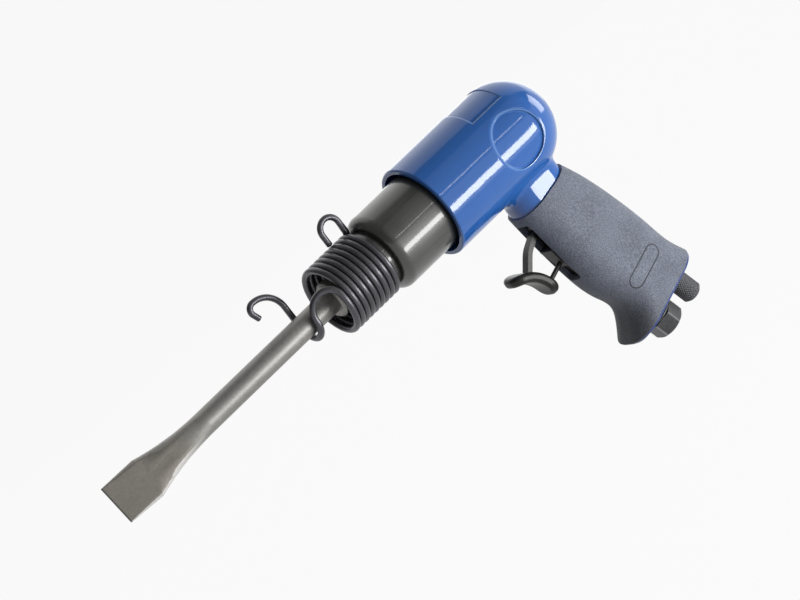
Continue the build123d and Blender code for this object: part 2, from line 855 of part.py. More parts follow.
# Throttle stem with its valve head
with BuildPart() as throttle_stem:
    with BuildSketch(inward(throttle_drop, pad_stand - play)):
        Circle(stem_d / 2)
    extrude(amount=pad_stand - play - head_fore)
    fillet(throttle_stem.edges().sort_by(Axis(handle_point(throttle_drop, 0), fore))[-1], stem_round)
    with BuildSketch(inward(throttle_drop, head_fore)):
        Circle(head_d / 2)
    extrude(amount=head_t)
throttle_stem.part.label = "throttle_stem"
export_step(throttle_stem.part, "parts/throttle_stem.step")

# Sealing ring under the throttle's head
with BuildPart() as throttle_seal:
    with BuildSketch(inward(throttle_drop, seal_fore)):
        Circle(stem_d / 2 + press_gap + seal_wall)
        Circle(stem_d / 2 + press_gap, mode=Mode.SUBTRACT)
    extrude(amount=seal_t)
throttle_seal.part.label = "throttle_seal"
export_step(throttle_seal.part, "parts/throttle_seal.step")

# Throttle spring between the head and the chamber's end
coil_room = head_back - chamber_back - 2 * spring_gap - spring_wire
throttle_plane = inward(throttle_drop, head_back - spring_gap - spring_wire / 2)
throttle_pitch = 2 * coil_room / spring_halves
throttle_r = (spring_d - spring_wire) / 2
throttle_stops = [
    coil_stop(throttle_plane, throttle_r, throttle_pitch, 180 * n, 0) for n in range(spring_halves + 1)
]
throttle_start = throttle_stops[0]
with BuildPart() as throttle_spring:
    with BuildSketch(Plane(origin=throttle_start[0], z_dir=throttle_start[1])):
        RegularPolygon(spring_wire / 2, spring_sides)
    sweep(path=wire_path(throttle_stops))
throttle_spring.part.label = "throttle_spring"
export_step(throttle_spring.part, "parts/throttle_spring.step")

# Air regulator: knob and hollow stem in one piece
with BuildPart() as regulator_knob:
    with BuildSketch(across(foot_end + knob_gap, -regulator_aft)):
        Circle(knob_d / 2)
    extrude(amount=knob_len)
    chamfer(regulator_knob.edges().sort_by(Axis(handle_point(0, 0), down))[-1], knob_chamfer)
    with BuildSketch(across(stem_top, -regulator_aft)):
        Circle(stem_od / 2)
    extrude(amount=foot_end + knob_gap - stem_top)
    with BuildSketch(across(groove_drop - cross_pin_d / 2 - cross_pin_gap, -regulator_aft)):
        Circle(stem_od / 2)
        Circle(groove_d / 2, mode=Mode.SUBTRACT)
    extrude(amount=cross_pin_d + 2 * cross_pin_gap, mode=Mode.SUBTRACT)
    with BuildSketch(across(ring_drop - press_gap, -regulator_aft)):
        Circle(stem_od / 2)
        Circle(ring_id / 2, mode=Mode.SUBTRACT)
    extrude(amount=ring_t + 2 * press_gap, mode=Mode.SUBTRACT)
    with BuildSketch(across(stem_top, -regulator_aft)):
        Circle(stem_hole_d / 2)
    extrude(amount=port_drop + port_d / 2 - stem_top, mode=Mode.SUBTRACT)
    with BuildSketch(Plane(origin=handle_point(port_drop, -regulator_aft), x_dir=(0, 1, 0), z_dir=fore)):
        Circle(stem_port_d / 2)
    extrude(amount=stem_od, mode=Mode.SUBTRACT)
regulator_knob.part.label = "regulator_knob"
export_step(regulator_knob.part, "parts/regulator_knob.step")

# Sealing ring in the regulator stem's groove
with BuildPart() as regulator_seal:
    with BuildSketch(across(ring_drop, -regulator_aft)):
        Circle(stem_od / 2)
        Circle(ring_id / 2 + press_gap, mode=Mode.SUBTRACT)
    extrude(amount=ring_t)
regulator_seal.part.label = "regulator_seal"
export_step(regulator_seal.part, "parts/regulator_seal.step")

# Cross pin that keeps the regulator in the handle
with BuildPart() as regulator_pin:
    with BuildSketch(side_plane):
        with Locations((-cross_pin_aft, -groove_drop)):
            Circle(cross_pin_d / 2)
    extrude(amount=cross_pin_len / 2, both=True)
regulator_pin.part.label = "regulator_pin"
export_step(regulator_pin.part, "parts/regulator_pin.step")

# Washer between the foot and the inlet's hexagon
with BuildPart() as inlet_washer:
    with BuildSketch(across(foot_end, inlet_fore)):
        Circle(washer_d / 2)
        Circle(inlet_shank_d / 2 + press_gap, mode=Mode.SUBTRACT)
    extrude(amount=washer_t)
inlet_washer.part.label = "inlet_washer"
export_step(inlet_washer.part, "parts/inlet_washer.step")

# Round blank of the inlet's hexagon, with its sloped end
with BuildPart() as hex_blank:
    with BuildSketch(across(hex_top, inlet_fore)):
        Circle(hex_flats / 2 / math.cos(math.pi / 6))
    extrude(amount=hex_len)
    blank_end = hex_blank.faces().sort_by(Axis(handle_point(0, 0), down))[-1]
    chamfer(blank_end.edges(), hex_chamfer, hex_slope)

# Air inlet: hexagon with the female thread's bore, round collar, and the shank in the handle
with BuildPart() as inlet_bushing:
    with BuildSketch(across(hex_top, inlet_fore)):
        RegularPolygon(hex_flats / 2, 6, major_radius=False, rotation=hex_turn)
    extrude(amount=hex_len)
    add(hex_blank.part, mode=Mode.INTERSECT)
    with BuildSketch(across(hex_top, inlet_fore)):
        Circle(inlet_collar_d / 2)
    extrude(amount=-inlet_collar)
    with BuildSketch(across(neck_top, inlet_fore)):
        Circle(inlet_shank_d / 2)
    extrude(amount=-(washer_t + inlet_shank - play))
    with BuildSketch(across(mouth_drop, inlet_fore)):
        Circle(inlet_thread_d / 2)
    extrude(amount=-inlet_thread, mode=Mode.SUBTRACT)
    with BuildSketch(across(mouth_drop, inlet_fore)):
        Circle(screen_rim_d / 2 + run_gap)
    extrude(amount=-(inlet_thread + screen_rim_t), mode=Mode.SUBTRACT)
    with BuildSketch(across(mouth_drop, inlet_fore)):
        Circle(inlet_hole_d / 2)
    extrude(amount=-(hex_len + inlet_collar + washer_t + inlet_shank), mode=Mode.SUBTRACT)
inlet_bushing.part.label = "inlet_bushing"
export_step(inlet_bushing.part, "parts/inlet_bushing.step")

# Sieve cup in the inlet, on the step below the thread
with BuildPart() as inlet_screen:
    screen_seat = mouth_drop - inlet_thread - screen_rim_t
    with BuildSketch(across(screen_seat, inlet_fore)):
        Circle(screen_rim_d / 2)
    extrude(amount=screen_rim_t)
    with BuildSketch(across(screen_seat, inlet_fore)):
        Circle(inlet_hole_d / 2 - play)
    extrude(amount=-screen_len)
    with BuildSketch(across(screen_seat + screen_rim_t, inlet_fore)):
        Circle(inlet_hole_d / 2 - play - screen_wall)
    extrude(amount=-(screen_rim_t + screen_len - screen_wall), mode=Mode.SUBTRACT)
inlet_screen.part.label = "inlet_screen"
export_step(inlet_screen.part, "parts/inlet_screen.step")
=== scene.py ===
import math

import bmesh
import bpy
import numpy as np
from mathutils import Matrix, Vector


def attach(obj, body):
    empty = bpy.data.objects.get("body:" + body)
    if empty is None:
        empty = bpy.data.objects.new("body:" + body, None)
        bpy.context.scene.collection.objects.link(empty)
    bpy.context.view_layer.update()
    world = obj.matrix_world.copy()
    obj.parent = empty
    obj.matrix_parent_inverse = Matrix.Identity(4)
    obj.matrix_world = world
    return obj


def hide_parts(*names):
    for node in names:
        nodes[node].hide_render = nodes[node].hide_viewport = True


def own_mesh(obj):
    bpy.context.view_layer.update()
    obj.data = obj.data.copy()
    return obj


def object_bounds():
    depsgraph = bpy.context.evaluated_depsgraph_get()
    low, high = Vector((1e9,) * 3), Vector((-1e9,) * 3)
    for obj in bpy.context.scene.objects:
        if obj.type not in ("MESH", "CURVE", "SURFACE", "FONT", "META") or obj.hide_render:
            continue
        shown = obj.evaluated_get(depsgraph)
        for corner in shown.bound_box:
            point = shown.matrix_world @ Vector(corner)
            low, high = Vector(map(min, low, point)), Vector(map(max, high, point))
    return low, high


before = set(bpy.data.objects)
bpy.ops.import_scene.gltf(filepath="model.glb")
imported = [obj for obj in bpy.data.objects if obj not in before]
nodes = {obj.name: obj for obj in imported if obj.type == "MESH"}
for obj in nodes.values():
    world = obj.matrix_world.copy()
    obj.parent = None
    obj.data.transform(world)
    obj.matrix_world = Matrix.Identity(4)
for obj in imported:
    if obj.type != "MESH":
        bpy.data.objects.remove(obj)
cad_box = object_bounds()
scene = bpy.context.scene

# One millimetre in metres, how near points merge, how short an edge is dropped, and turns in radians
MM = 0.001
MERGE_WITHIN, FLAT_WITHIN = 1e-7, 1e-8
FULL_TURN, QUARTER_TURN = 2 * math.pi, math.pi / 2

# Directions and places of the tool, in millimetres, as in the solids
RAKE = math.radians(17.0)
DOWN = np.array([-math.sin(RAKE), 0.0, -math.cos(RAKE)])
FORE = np.array([math.cos(RAKE), 0.0, -math.sin(RAKE)])
LEFT, RIGHT = np.array([0.0, 1.0, 0.0]), np.array([0.0, -1.0, 0.0])
UP, AHEAD = np.array([0.0, 0.0, 1.0]), np.array([1.0, 0.0, 0.0])
HANDLE = np.array([-89.0, 0.0, 0.0])
BODY_R = 24.15
RECESS_X, RECESS_R = -99.1, 13.2
FIELD_MID, FIELD_HALF, FIELD_LEAN = -98.4, 9.6, math.radians(41.0)
BLADE_ROLL = math.radians(-12.0)
BLADE_WIDE = np.array([0.0, math.sin(BLADE_ROLL), math.cos(BLADE_ROLL)])
INLET_AHEAD = 8.2
REGULATOR_AFT = 10.6


def mesh_from_grid(name, points, keep=None):
    """Quads between neighbours of a grid of points in millimetres, whose columns close into a ring.

    `keep` is a mask of the quads that stay.
    """
    rows, cols = points.shape[:2]
    here = np.arange(rows * cols).reshape(rows, cols)
    there = np.roll(here, -1, axis=1)
    quads = np.stack([here[:-1], there[:-1], there[1:], here[1:]], axis=-1)
    quads = quads.reshape(-1, 4) if keep is None else quads[keep]
    used, flat = np.unique(quads, return_inverse=True)
    corners = flat.reshape(-1).astype(np.int32)
    mesh = bpy.data.meshes.new(name)
    mesh.vertices.add(len(used))
    mesh.vertices.foreach_set("co", (points.reshape(-1, 3)[used] * MM).ravel())
    mesh.loops.add(len(corners))
    mesh.loops.foreach_set("vertex_index", corners)
    mesh.polygons.add(len(corners) // 4)
    mesh.polygons.foreach_set("loop_start", np.arange(0, len(corners), 4, dtype=np.int32))
    mesh.update(calc_edges=True)
    return mesh


def piece_from_mesh(name, mesh, body, material, solid=True):
    """Object at the origin with merged poles, which rides on a body. A solid's faces are turned outwards."""
    work = bmesh.new()
    work.from_mesh(mesh)
    bmesh.ops.remove_doubles(work, verts=work.verts, dist=MERGE_WITHIN)
    bmesh.ops.dissolve_degenerate(work, edges=work.edges, dist=FLAT_WITHIN)
    if solid:
        bmesh.ops.recalc_face_normals(work, faces=work.faces)
    work.to_mesh(mesh)
    work.free()
    mesh.polygons.foreach_set("use_smooth", np.ones(len(mesh.polygons), bool))
    mesh.materials.append(material)
    piece = bpy.data.objects.new(name, mesh)
    scene.collection.objects.link(piece)
    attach(piece, body)
    return piece


# Shader helpers, and the numbers of the Mix node's colour sockets
MIX_FIRST, MIX_SECOND, MIX_RESULT = 6, 7, 2


def wire(tree, source, target):
    """Links an output socket to an input socket."""
    tree.links.new(source, target)


def put(tree, kind, inputs=None, **settings):
    """Adds a node; its inputs are values or output sockets of other nodes."""
    made = tree.nodes.new(kind)
    for name, value in settings.items():
        setattr(made, name, value)
    for name, value in (inputs or {}).items():
        if isinstance(value, bpy.types.NodeSocket):
            wire(tree, value, made.inputs[name])
        else:
            made.inputs[name].default_value = value
    return made


def maths(tree, operation, *values):
    """One Math node's result."""
    return put(tree, "ShaderNodeMath", dict(enumerate(values)), operation=operation).outputs[0]


def product(tree, first, *others):
    """Values multiplied in turn."""
    for other in others:
        first = maths(tree, "MULTIPLY", first, other)
    return first


def weighed(tree, *pairs):
    """Sum of values, each times its weight."""
    parts = [maths(tree, "MULTIPLY", value, weight) for value, weight in pairs]
    whole = parts[0]
    for part in parts[1:]:
        whole = maths(tree, "ADD", whole, part)
    return whole


def without(tree, share):
    """One less a share, such as what a mask leaves."""
    return maths(tree, "SUBTRACT", 1.0, share)


def distance_from(tree, across, along):
    """Root of the sum of two squares."""
    squares = (maths(tree, "POWER", leg, 2.0) for leg in (across, along))
    return maths(tree, "SQRT", maths(tree, "ADD", *squares))


def smooth(tree, value, low, high):
    """Smooth step of a value from 0 at `low` to 1 at `high`."""
    step = put(
        tree,
        "ShaderNodeMapRange",
        {"Value": value, "From Min": low, "From Max": high},
        interpolation_type="SMOOTHSTEP",
    )
    return step.outputs["Result"]


def spread(tree, value, low, high):
    """A 0 to 1 value spread between two values."""
    made = put(tree, "ShaderNodeMapRange", {"Value": value, "To Min": low, "To Max": high})
    return made.outputs["Result"]


def mix(tree, amount, first, second):
    """Colour between two colours, each three shares of light or an output socket."""
    made = put(tree, "ShaderNodeMix", {"Factor": amount}, data_type="RGBA")
    for socket, value in ((made.inputs[MIX_FIRST], first), (made.inputs[MIX_SECOND], second)):
        if isinstance(value, bpy.types.NodeSocket):
            wire(tree, value, socket)
        else:
            socket.default_value = (*value, 1.0)
    return made.outputs[MIX_RESULT]


def bump(tree, height, distance, normal=None):
    """Normal of a height that stands `distance` metres tall at one."""
    inputs = {"Height": height, "Distance": distance}
    if normal is not None:
        inputs["Normal"] = normal
    return put(tree, "ShaderNodeBump", inputs).outputs["Normal"]


def new_group(name, inputs, outputs):
    """Empty shader group with float inputs and outputs, and its two end nodes."""
    tree = bpy.data.node_groups.new(name, "ShaderNodeTree")
    for label, value in inputs.items():
        socket = tree.interface.new_socket(name=label, in_out="INPUT", socket_type="NodeSocketFloat")
        socket.default_value = value
    for label in outputs:
        tree.interface.new_socket(name=label, in_out="OUTPUT", socket_type="NodeSocketFloat")
    return tree, put(tree, "NodeGroupInput"), put(tree, "NodeGroupOutput")


def use_group(tree, group, **values):
    """Places a group in a material, with its own values."""
    made = put(tree, "ShaderNodeGroup", node_tree=group)
    for name, value in values.items():
        made.inputs[name.replace("_", " ").title()].default_value = value
    return made.outputs


def new_material(name):
    """Empty node material with its shader, as material, tree and shader node."""
    material = bpy.data.materials.new(name)
    material.use_nodes = True
    tree = material.node_tree
    tree.nodes.clear()
    shader = put(tree, "ShaderNodeBsdfPrincipled")
    out = put(tree, "ShaderNodeOutputMaterial", {"Surface": shader.outputs[0]})
    out.is_active_output = True
    return material, tree, shader


# Finishes: noise scales are per metre, places in millimetres, and the depths of grain in metres
GRAIN_SCALE, CLOUD_SCALE = 900.0, 80.0
GRAIN_DETAIL, CLOUD_DETAIL = 4.0, 3.0
STREAK_ALONG, STREAK_ACROSS = 40.0, 2400.0
# Each lip sinks as a rounded edge, and the band along it (line) is paled as a painted highlight
RECESS_LIP = {"wide": 2.0, "deep": 0.8, "line": (0.3, 1.1)}
FIELD_LIP = {"wide": 0.9, "deep": 0.2, "line": (0.15, 0.7)}


def make_grain():
    """Fine grain: noise at a set scale, and a coarser cloud."""
    scales = {"Scale": GRAIN_SCALE, "Cloud Scale": CLOUD_SCALE}
    tree, ins, outs = new_group("fine_grain", scales, ("Grain", "Cloud"))
    place = put(tree, "ShaderNodeTexCoord").outputs["Object"]
    for scale, detail, result in (("Scale", GRAIN_DETAIL, "Grain"), ("Cloud Scale", CLOUD_DETAIL, "Cloud")):
        noise = put(
            tree, "ShaderNodeTexNoise", {"Vector": place, "Scale": ins.outputs[scale], "Detail": detail}
        )
        wire(tree, noise.outputs["Fac"], outs.inputs[result])
    return tree


def make_brushed():
    """Streaks along the barrel's axis: noise on coordinates that grow slowly along X and fast across it."""
    scales = {"Along": STREAK_ALONG, "Across": STREAK_ACROSS}
    tree, ins, outs = new_group("brushed", scales, ("Streak",))
    place = put(tree, "ShaderNodeTexCoord").outputs["Object"]
    parts = put(tree, "ShaderNodeSeparateXYZ", {"Vector": place})
    scaled = {
        axis: maths(tree, "MULTIPLY", parts.outputs[axis], ins.outputs[scale])
        for axis, scale in (("X", "Along"), ("Y", "Across"), ("Z", "Across"))
    }
    joined = put(tree, "ShaderNodeCombineXYZ", scaled).outputs[0]
    noise = put(tree, "ShaderNodeTexNoise", {"Vector": joined, "Scale": 1.0, "Detail": CLOUD_DETAIL})
    wire(tree, noise.outputs["Fac"], outs.inputs["Streak"])
    return tree


def make_handle_place():
    """Millimetres down the handle, forward across it and to the side, for a surface point."""
    tree, _, outs = new_group("handle_place", {}, ("Drop", "Ahead", "Side"))
    place = put(tree, "ShaderNodeTexCoord").outputs["Object"]
    seen = put(tree, "ShaderNodeVectorMath", {0: place, 1: tuple(HANDLE * MM)}, operation="SUBTRACT")
    for name, way in (("Drop", DOWN), ("Ahead", FORE), ("Side", LEFT)):
        dot = put(
            tree,
            "ShaderNodeVectorMath",
            {0: seen.outputs[0], 1: tuple(way / MM)},
            operation="DOT_PRODUCT",
        )
        wire(tree, dot.outputs["Value"], outs.inputs[name])
    return tree


def make_lips():
    """Rounded lips of the round recess and of the sunk field, as a height in millimetres and a mask of the
    pale band along each edge, a painted highlight.

    The recess is a circle seen from the side. The field is a stretch of the body's top, and its long
    edge lies at a set angle from the top. Outside an edge the surface sinks towards it as a square.
    """
    tree, _, outs = new_group("recess_lips", {}, ("Height", "Lip Highlight"))
    place = put(tree, "ShaderNodeTexCoord").outputs["Object"]
    parts = put(tree, "ShaderNodeSeparateXYZ", {"Vector": place})
    x, y, z = (maths(tree, "MULTIPLY", parts.outputs[name], 1 / MM) for name in "XYZ")
    reach = distance_from(tree, maths(tree, "SUBTRACT", x, RECESS_X), z)
    ring = maths(tree, "SUBTRACT", reach, RECESS_R)
    ahead = maths(tree, "ABSOLUTE", maths(tree, "SUBTRACT", x, FIELD_MID))
    ahead = maths(tree, "SUBTRACT", ahead, FIELD_HALF)
    lean = maths(tree, "ARCTAN2", maths(tree, "ABSOLUTE", y), z)
    around = maths(tree, "MULTIPLY", maths(tree, "SUBTRACT", lean, FIELD_LEAN), BODY_R)
    field = maths(tree, "MAXIMUM", ahead, around)
    heights, highlight_masks = [], []
    for away, edge in ((ring, RECESS_LIP), (field, FIELD_LIP)):
        slope = without(tree, maths(tree, "DIVIDE", away, edge["wide"]))
        slope = maths(tree, "MULTIPLY", slope, maths(tree, "GREATER_THAN", away, 0.0))
        slope = maths(tree, "MAXIMUM", slope, 0.0)
        heights.append(maths(tree, "MULTIPLY", maths(tree, "POWER", slope, 2.0), -edge["deep"]))
        # Band along each edge, paled in the paint as a painted highlight
        highlight_masks.append(without(tree, smooth(tree, maths(tree, "ABSOLUTE", away), *edge["line"])))
    wire(tree, maths(tree, "MINIMUM", *heights), outs.inputs["Height"])
    wire(tree, maths(tree, "MAXIMUM", *highlight_masks), outs.inputs["Lip Highlight"])
    return tree


grain_group = make_grain()
brushed_group = make_brushed()
handle_group = make_handle_place()
lip_group = make_lips()

# Blue enamel: where the trigger's slot is painted black and the foot navy, both as painted shade, and the
# lips' pale painted highlight
SLOT_SIDE, SLOT_DEPTH = (5.4, 6.0), (0.0, 2.0)
SLOT_STARTS, SLOT_STOPS = (33.6, 34.4), (71.0, 71.8)
FOOT_SHADE_STARTS = (107.8, 108.4)
BLUES = (0.018, 0.102, 0.365), (0.022, 0.118, 0.405)
LIP_HIGHLIGHT_BLUE, LIP_HIGHLIGHT_SHARE = (0.16, 0.33, 0.66), 0.5
FOOT_SHADE_NAVY, SLOT_SHADE_BLACK = (0.014, 0.04, 0.17), (0.004, 0.004, 0.005)
PAINT_ROUGH, SLOT_ROUGH = (0.05, 0.13), 0.6
PAINT_PEEL, PAINT_SPECULAR = 0.00006, 0.55


def make_paint():
    """Glossy blue enamel with orange peel, pale on the lips as a painted highlight, with navy at the foot and
    black in the slot as painted shade.
    """
    material, tree, shader = new_material("blue_enamel")
    grain = use_group(tree, grain_group, scale=170.0, cloud_scale=35.0)
    place = use_group(tree, handle_group)
    lips = use_group(tree, lip_group)
    # Painted shade: the slot's inside is mixed to black, and made rougher
    inside = product(
        tree,
        without(tree, smooth(tree, maths(tree, "ABSOLUTE", place["Side"]), *SLOT_SIDE)),
        smooth(tree, place["Drop"], *SLOT_STARTS),
        without(tree, smooth(tree, place["Drop"], *SLOT_STOPS)),
        smooth(tree, place["Ahead"], *SLOT_DEPTH),
    )
    blue = mix(tree, grain["Cloud"], *BLUES)
    # Painted highlight: the lips' band is paled towards a light blue
    blue = mix(tree, product(tree, lips["Lip Highlight"], LIP_HIGHLIGHT_SHARE), blue, LIP_HIGHLIGHT_BLUE)
    # Painted shade: the foot is darkened to navy
    blue = mix(tree, smooth(tree, place["Drop"], *FOOT_SHADE_STARTS), blue, FOOT_SHADE_NAVY)
    wire(tree, mix(tree, inside, blue, SLOT_SHADE_BLACK), shader.inputs["Base Color"])
    gloss = spread(tree, grain["Cloud"], *PAINT_ROUGH)
    rough = maths(tree, "MAXIMUM", gloss, product(tree, inside, SLOT_ROUGH))
    wire(tree, rough, shader.inputs["Roughness"])
    lip = bump(tree, lips["Height"], MM)
    wire(tree, bump(tree, grain["Grain"], PAINT_PEEL, normal=lip), shader.inputs["Normal"])
    shader.inputs["Specular IOR Level"].default_value = PAINT_SPECULAR
    return material


# Rubber: the oval outline on the left side, and the darker toe, partly painted shade and partly dirt
OVAL_AHEAD, OVAL_DROP, OVAL_HALF, OVAL_R = -0.6, 90.4, 7.7, 3.5
OVAL_LINE, OVAL_SIDE = (0.14, 0.42), (8.0, 9.0)
OVAL_DEEP, RUBBER_GRAIN_DEEP = 0.00025, 0.00016
TOE_AHEAD, TOE_DROP, TOE_SHADE_AND_DIRT_SHARE = (6.0, 22.0), (74.0, 106.0), 0.6
GREYS = (0.076, 0.087, 0.116), (0.168, 0.186, 0.234)
TOE_SHADE_AND_DIRT_GREY, OVAL_GREY = (0.04, 0.037, 0.033), (0.035, 0.037, 0.045)
RUBBER_TONE, RUBBER_ROUGH = (0.36, 0.64), (0.62, 0.82)
RUBBER_SHEEN, RUBBER_SHEEN_ROUGH = 0.12, 0.5


def make_rubber():
    """Grey moulded rubber with a mottled grain, a toe darkened partly as painted shade and partly as dirt,
    and an oval outline on its left side.

    The oval is the set of points at one distance from a short line along the handle's depth.
    """
    material, tree, shader = new_material("grip_rubber")
    grain = use_group(tree, grain_group, scale=1600.0, cloud_scale=90.0)
    place = use_group(tree, handle_group)
    along = maths(tree, "ABSOLUTE", maths(tree, "SUBTRACT", place["Ahead"], OVAL_AHEAD))
    along = maths(tree, "MAXIMUM", maths(tree, "SUBTRACT", along, OVAL_HALF), 0.0)
    reach = distance_from(tree, along, maths(tree, "SUBTRACT", place["Drop"], OVAL_DROP))
    line = maths(tree, "ABSOLUTE", maths(tree, "SUBTRACT", reach, OVAL_R))
    line = without(tree, smooth(tree, line, *OVAL_LINE))
    line = maths(tree, "MULTIPLY", line, smooth(tree, place["Side"], *OVAL_SIDE))
    tone = weighed(tree, (grain["Grain"], 0.8), (grain["Cloud"], 0.2))
    # Toe darkened: partly painted shade, partly dirt
    toe = product(
        tree, smooth(tree, place["Ahead"], *TOE_AHEAD), smooth(tree, place["Drop"], *TOE_DROP), TOE_SHADE_AND_DIRT_SHARE
    )
    grey = mix(tree, smooth(tree, tone, *RUBBER_TONE), *GREYS)
    grey = mix(tree, toe, grey, TOE_SHADE_AND_DIRT_GREY)
    wire(tree, mix(tree, line, grey, OVAL_GREY), shader.inputs["Base Color"])
    wire(tree, spread(tree, tone, *RUBBER_ROUGH), shader.inputs["Roughness"])
    pressed = bump(tree, without(tree, line), OVAL_DEEP)
    wire(tree, bump(tree, grain["Grain"], RUBBER_GRAIN_DEEP, normal=pressed), shader.inputs["Normal"])
    shader.inputs["Sheen Weight"].default_value = RUBBER_SHEEN
    shader.inputs["Sheen Roughness"].default_value = RUBBER_SHEEN_ROUGH
    return material


# Forged steel: where the blade and its cutting edge start, and how far a ground side faces up or down; the
# lower ground side is made brighter as a painted highlight
BLADE_STARTS, EDGE_STARTS = (92.0, 118.0), (148.9, 149.3)
GROUND_FACING, UPPER_SIDE_HIGHLIGHT_SHARE = (0.34, 0.48), 0.25
SHAFT_STEELS = (0.2, 0.195, 0.185), (0.29, 0.285, 0.27)
BLADE_STEELS = (0.165, 0.154, 0.135), (0.24, 0.225, 0.2)
GROUND_AND_HIGHLIGHT_STEEL, EDGE_STEEL = (0.68, 0.67, 0.65), (0.06, 0.057, 0.052)
FORGED_TONE, FORGED_ROUGH = (0.2, 0.8), (0.44, 0.52)
SHAFT_METALLIC, BLADE_METALLIC = 0.8, 0.55
STEEL_GRAIN_DEEP = 0.00002


def make_forged_steel():
    """Forged steel: the blade's narrow sides are ground, the lower one brighter as a painted highlight, and
    its edge is dark.
    """
    material, tree, shader = new_material("forged_steel")
    grain = use_group(tree, grain_group, scale=700.0, cloud_scale=90.0)
    streak = use_group(tree, brushed_group, along=160.0, across=1500.0)["Streak"]
    seen = put(tree, "ShaderNodeTexCoord")
    place = put(tree, "ShaderNodeSeparateXYZ", {"Vector": seen.outputs["Object"]})
    ways = {0: seen.outputs["Normal"], 1: tuple(BLADE_WIDE)}
    facing = put(tree, "ShaderNodeVectorMath", ways, operation="DOT_PRODUCT").outputs["Value"]
    x = maths(tree, "MULTIPLY", place.outputs["X"], 1 / MM)
    blade = smooth(tree, x, *BLADE_STARTS)
    upper = smooth(tree, facing, *GROUND_FACING)
    lower = smooth(tree, maths(tree, "MULTIPLY", facing, -1.0), *GROUND_FACING)
    # Painted highlight: the lower ground side takes the full bright colour, the upper side only a share
    side = maths(tree, "MAXIMUM", lower, product(tree, upper, UPPER_SIDE_HIGHLIGHT_SHARE))
    side = maths(tree, "MULTIPLY", side, blade)
    tone = weighed(tree, (grain["Grain"], 0.45), (streak, 0.2), (grain["Cloud"], 0.35))
    tone = smooth(tree, tone, *FORGED_TONE)
    colour = mix(tree, blade, mix(tree, tone, *SHAFT_STEELS), mix(tree, tone, *BLADE_STEELS))
    colour = mix(tree, side, colour, GROUND_AND_HIGHLIGHT_STEEL)
    colour = mix(tree, smooth(tree, x, *EDGE_STARTS), colour, EDGE_STEEL)
    wire(tree, colour, shader.inputs["Base Color"])
    wire(tree, spread(tree, tone, *FORGED_ROUGH), shader.inputs["Roughness"])
    wire(tree, spread(tree, blade, SHAFT_METALLIC, BLADE_METALLIC), shader.inputs["Metallic"])
    wire(tree, bump(tree, grain["Grain"], STEEL_GRAIN_DEEP), shader.inputs["Normal"])
    return material


# Plainer finishes
GRAIN_TONE = (0.3, 0.7)
# Hexagon corners: worn bright, partly as a painted highlight
HEX_CORNER, WORN_AND_HIGHLIGHT_SHARE, WORN_AND_HIGHLIGHT_STEEL = (8.3, 8.6), 0.6, (0.32, 0.32, 0.33)


def grained(name, dark, light, rough, scale=GRAIN_SCALE, metallic=1.0, depth=STEEL_GRAIN_DEEP, streak=False):
    """Finish whose colour and roughness follow fine grain, or streaks along X, and a coarser cloud.

    Comes back as material, tree and shader node.
    """
    material, tree, shader = new_material(name)
    grain = use_group(tree, grain_group, scale=scale, cloud_scale=CLOUD_SCALE)
    fine = use_group(tree, brushed_group)["Streak"] if streak else grain["Grain"]
    tone = weighed(tree, (fine, 0.5), (grain["Cloud"], 0.5))
    wire(tree, mix(tree, smooth(tree, tone, *GRAIN_TONE), dark, light), shader.inputs["Base Color"])
    wire(tree, spread(tree, tone, *rough), shader.inputs["Roughness"])
    wire(tree, bump(tree, fine, depth), shader.inputs["Normal"])
    shader.inputs["Metallic"].default_value = metallic
    return material, tree, shader


def plain(name, dark, light, rough, **grain):
    """A grained finish with nothing added."""
    return grained(name, dark, light, rough, **grain)[0]


def make_gunmetal():
    """Brushed dark steel of the barrel under a thin coat of oil."""
    material, _, shader = grained(
        "gunmetal",
        dark=(0.05, 0.05, 0.048),
        light=(0.074, 0.074, 0.07),
        rough=(0.38, 0.48),
        metallic=0.7,
        depth=0.000006,
        streak=True,
    )
    shader.inputs["Coat Weight"].default_value = 0.8
    shader.inputs["Coat Roughness"].default_value = 0.11
    return material


def make_trigger_black():
    """Satin black of the trigger and of the throttle's stem, with a weak shine."""
    material, _, shader = grained(
        "trigger_black", dark=(0.011, 0.011, 0.01), light=(0.02, 0.02, 0.018), rough=(0.3, 0.42), metallic=0.2
    )
    shader.inputs["Specular IOR Level"].default_value = 0.3
    return material


def make_hex_steel():
    """Blackened steel whose hexagon is worn bright along its corners, far from the inlet's axis, partly as a
    painted highlight.
    """
    material, tree, shader = grained(
        "hex_steel", dark=(0.04, 0.04, 0.043), light=(0.075, 0.076, 0.082), rough=(0.24, 0.36), metallic=0.5
    )
    place = use_group(tree, handle_group)
    reach = distance_from(tree, maths(tree, "SUBTRACT", place["Ahead"], INLET_AHEAD), place["Side"])
    # Corners worn bright, partly a painted highlight
    worn = product(tree, smooth(tree, reach, *HEX_CORNER), WORN_AND_HIGHLIGHT_SHARE)
    black = shader.inputs["Base Color"].links[0].from_socket
    wire(tree, mix(tree, worn, black, WORN_AND_HIGHLIGHT_STEEL), shader.inputs["Base Color"])
    return material


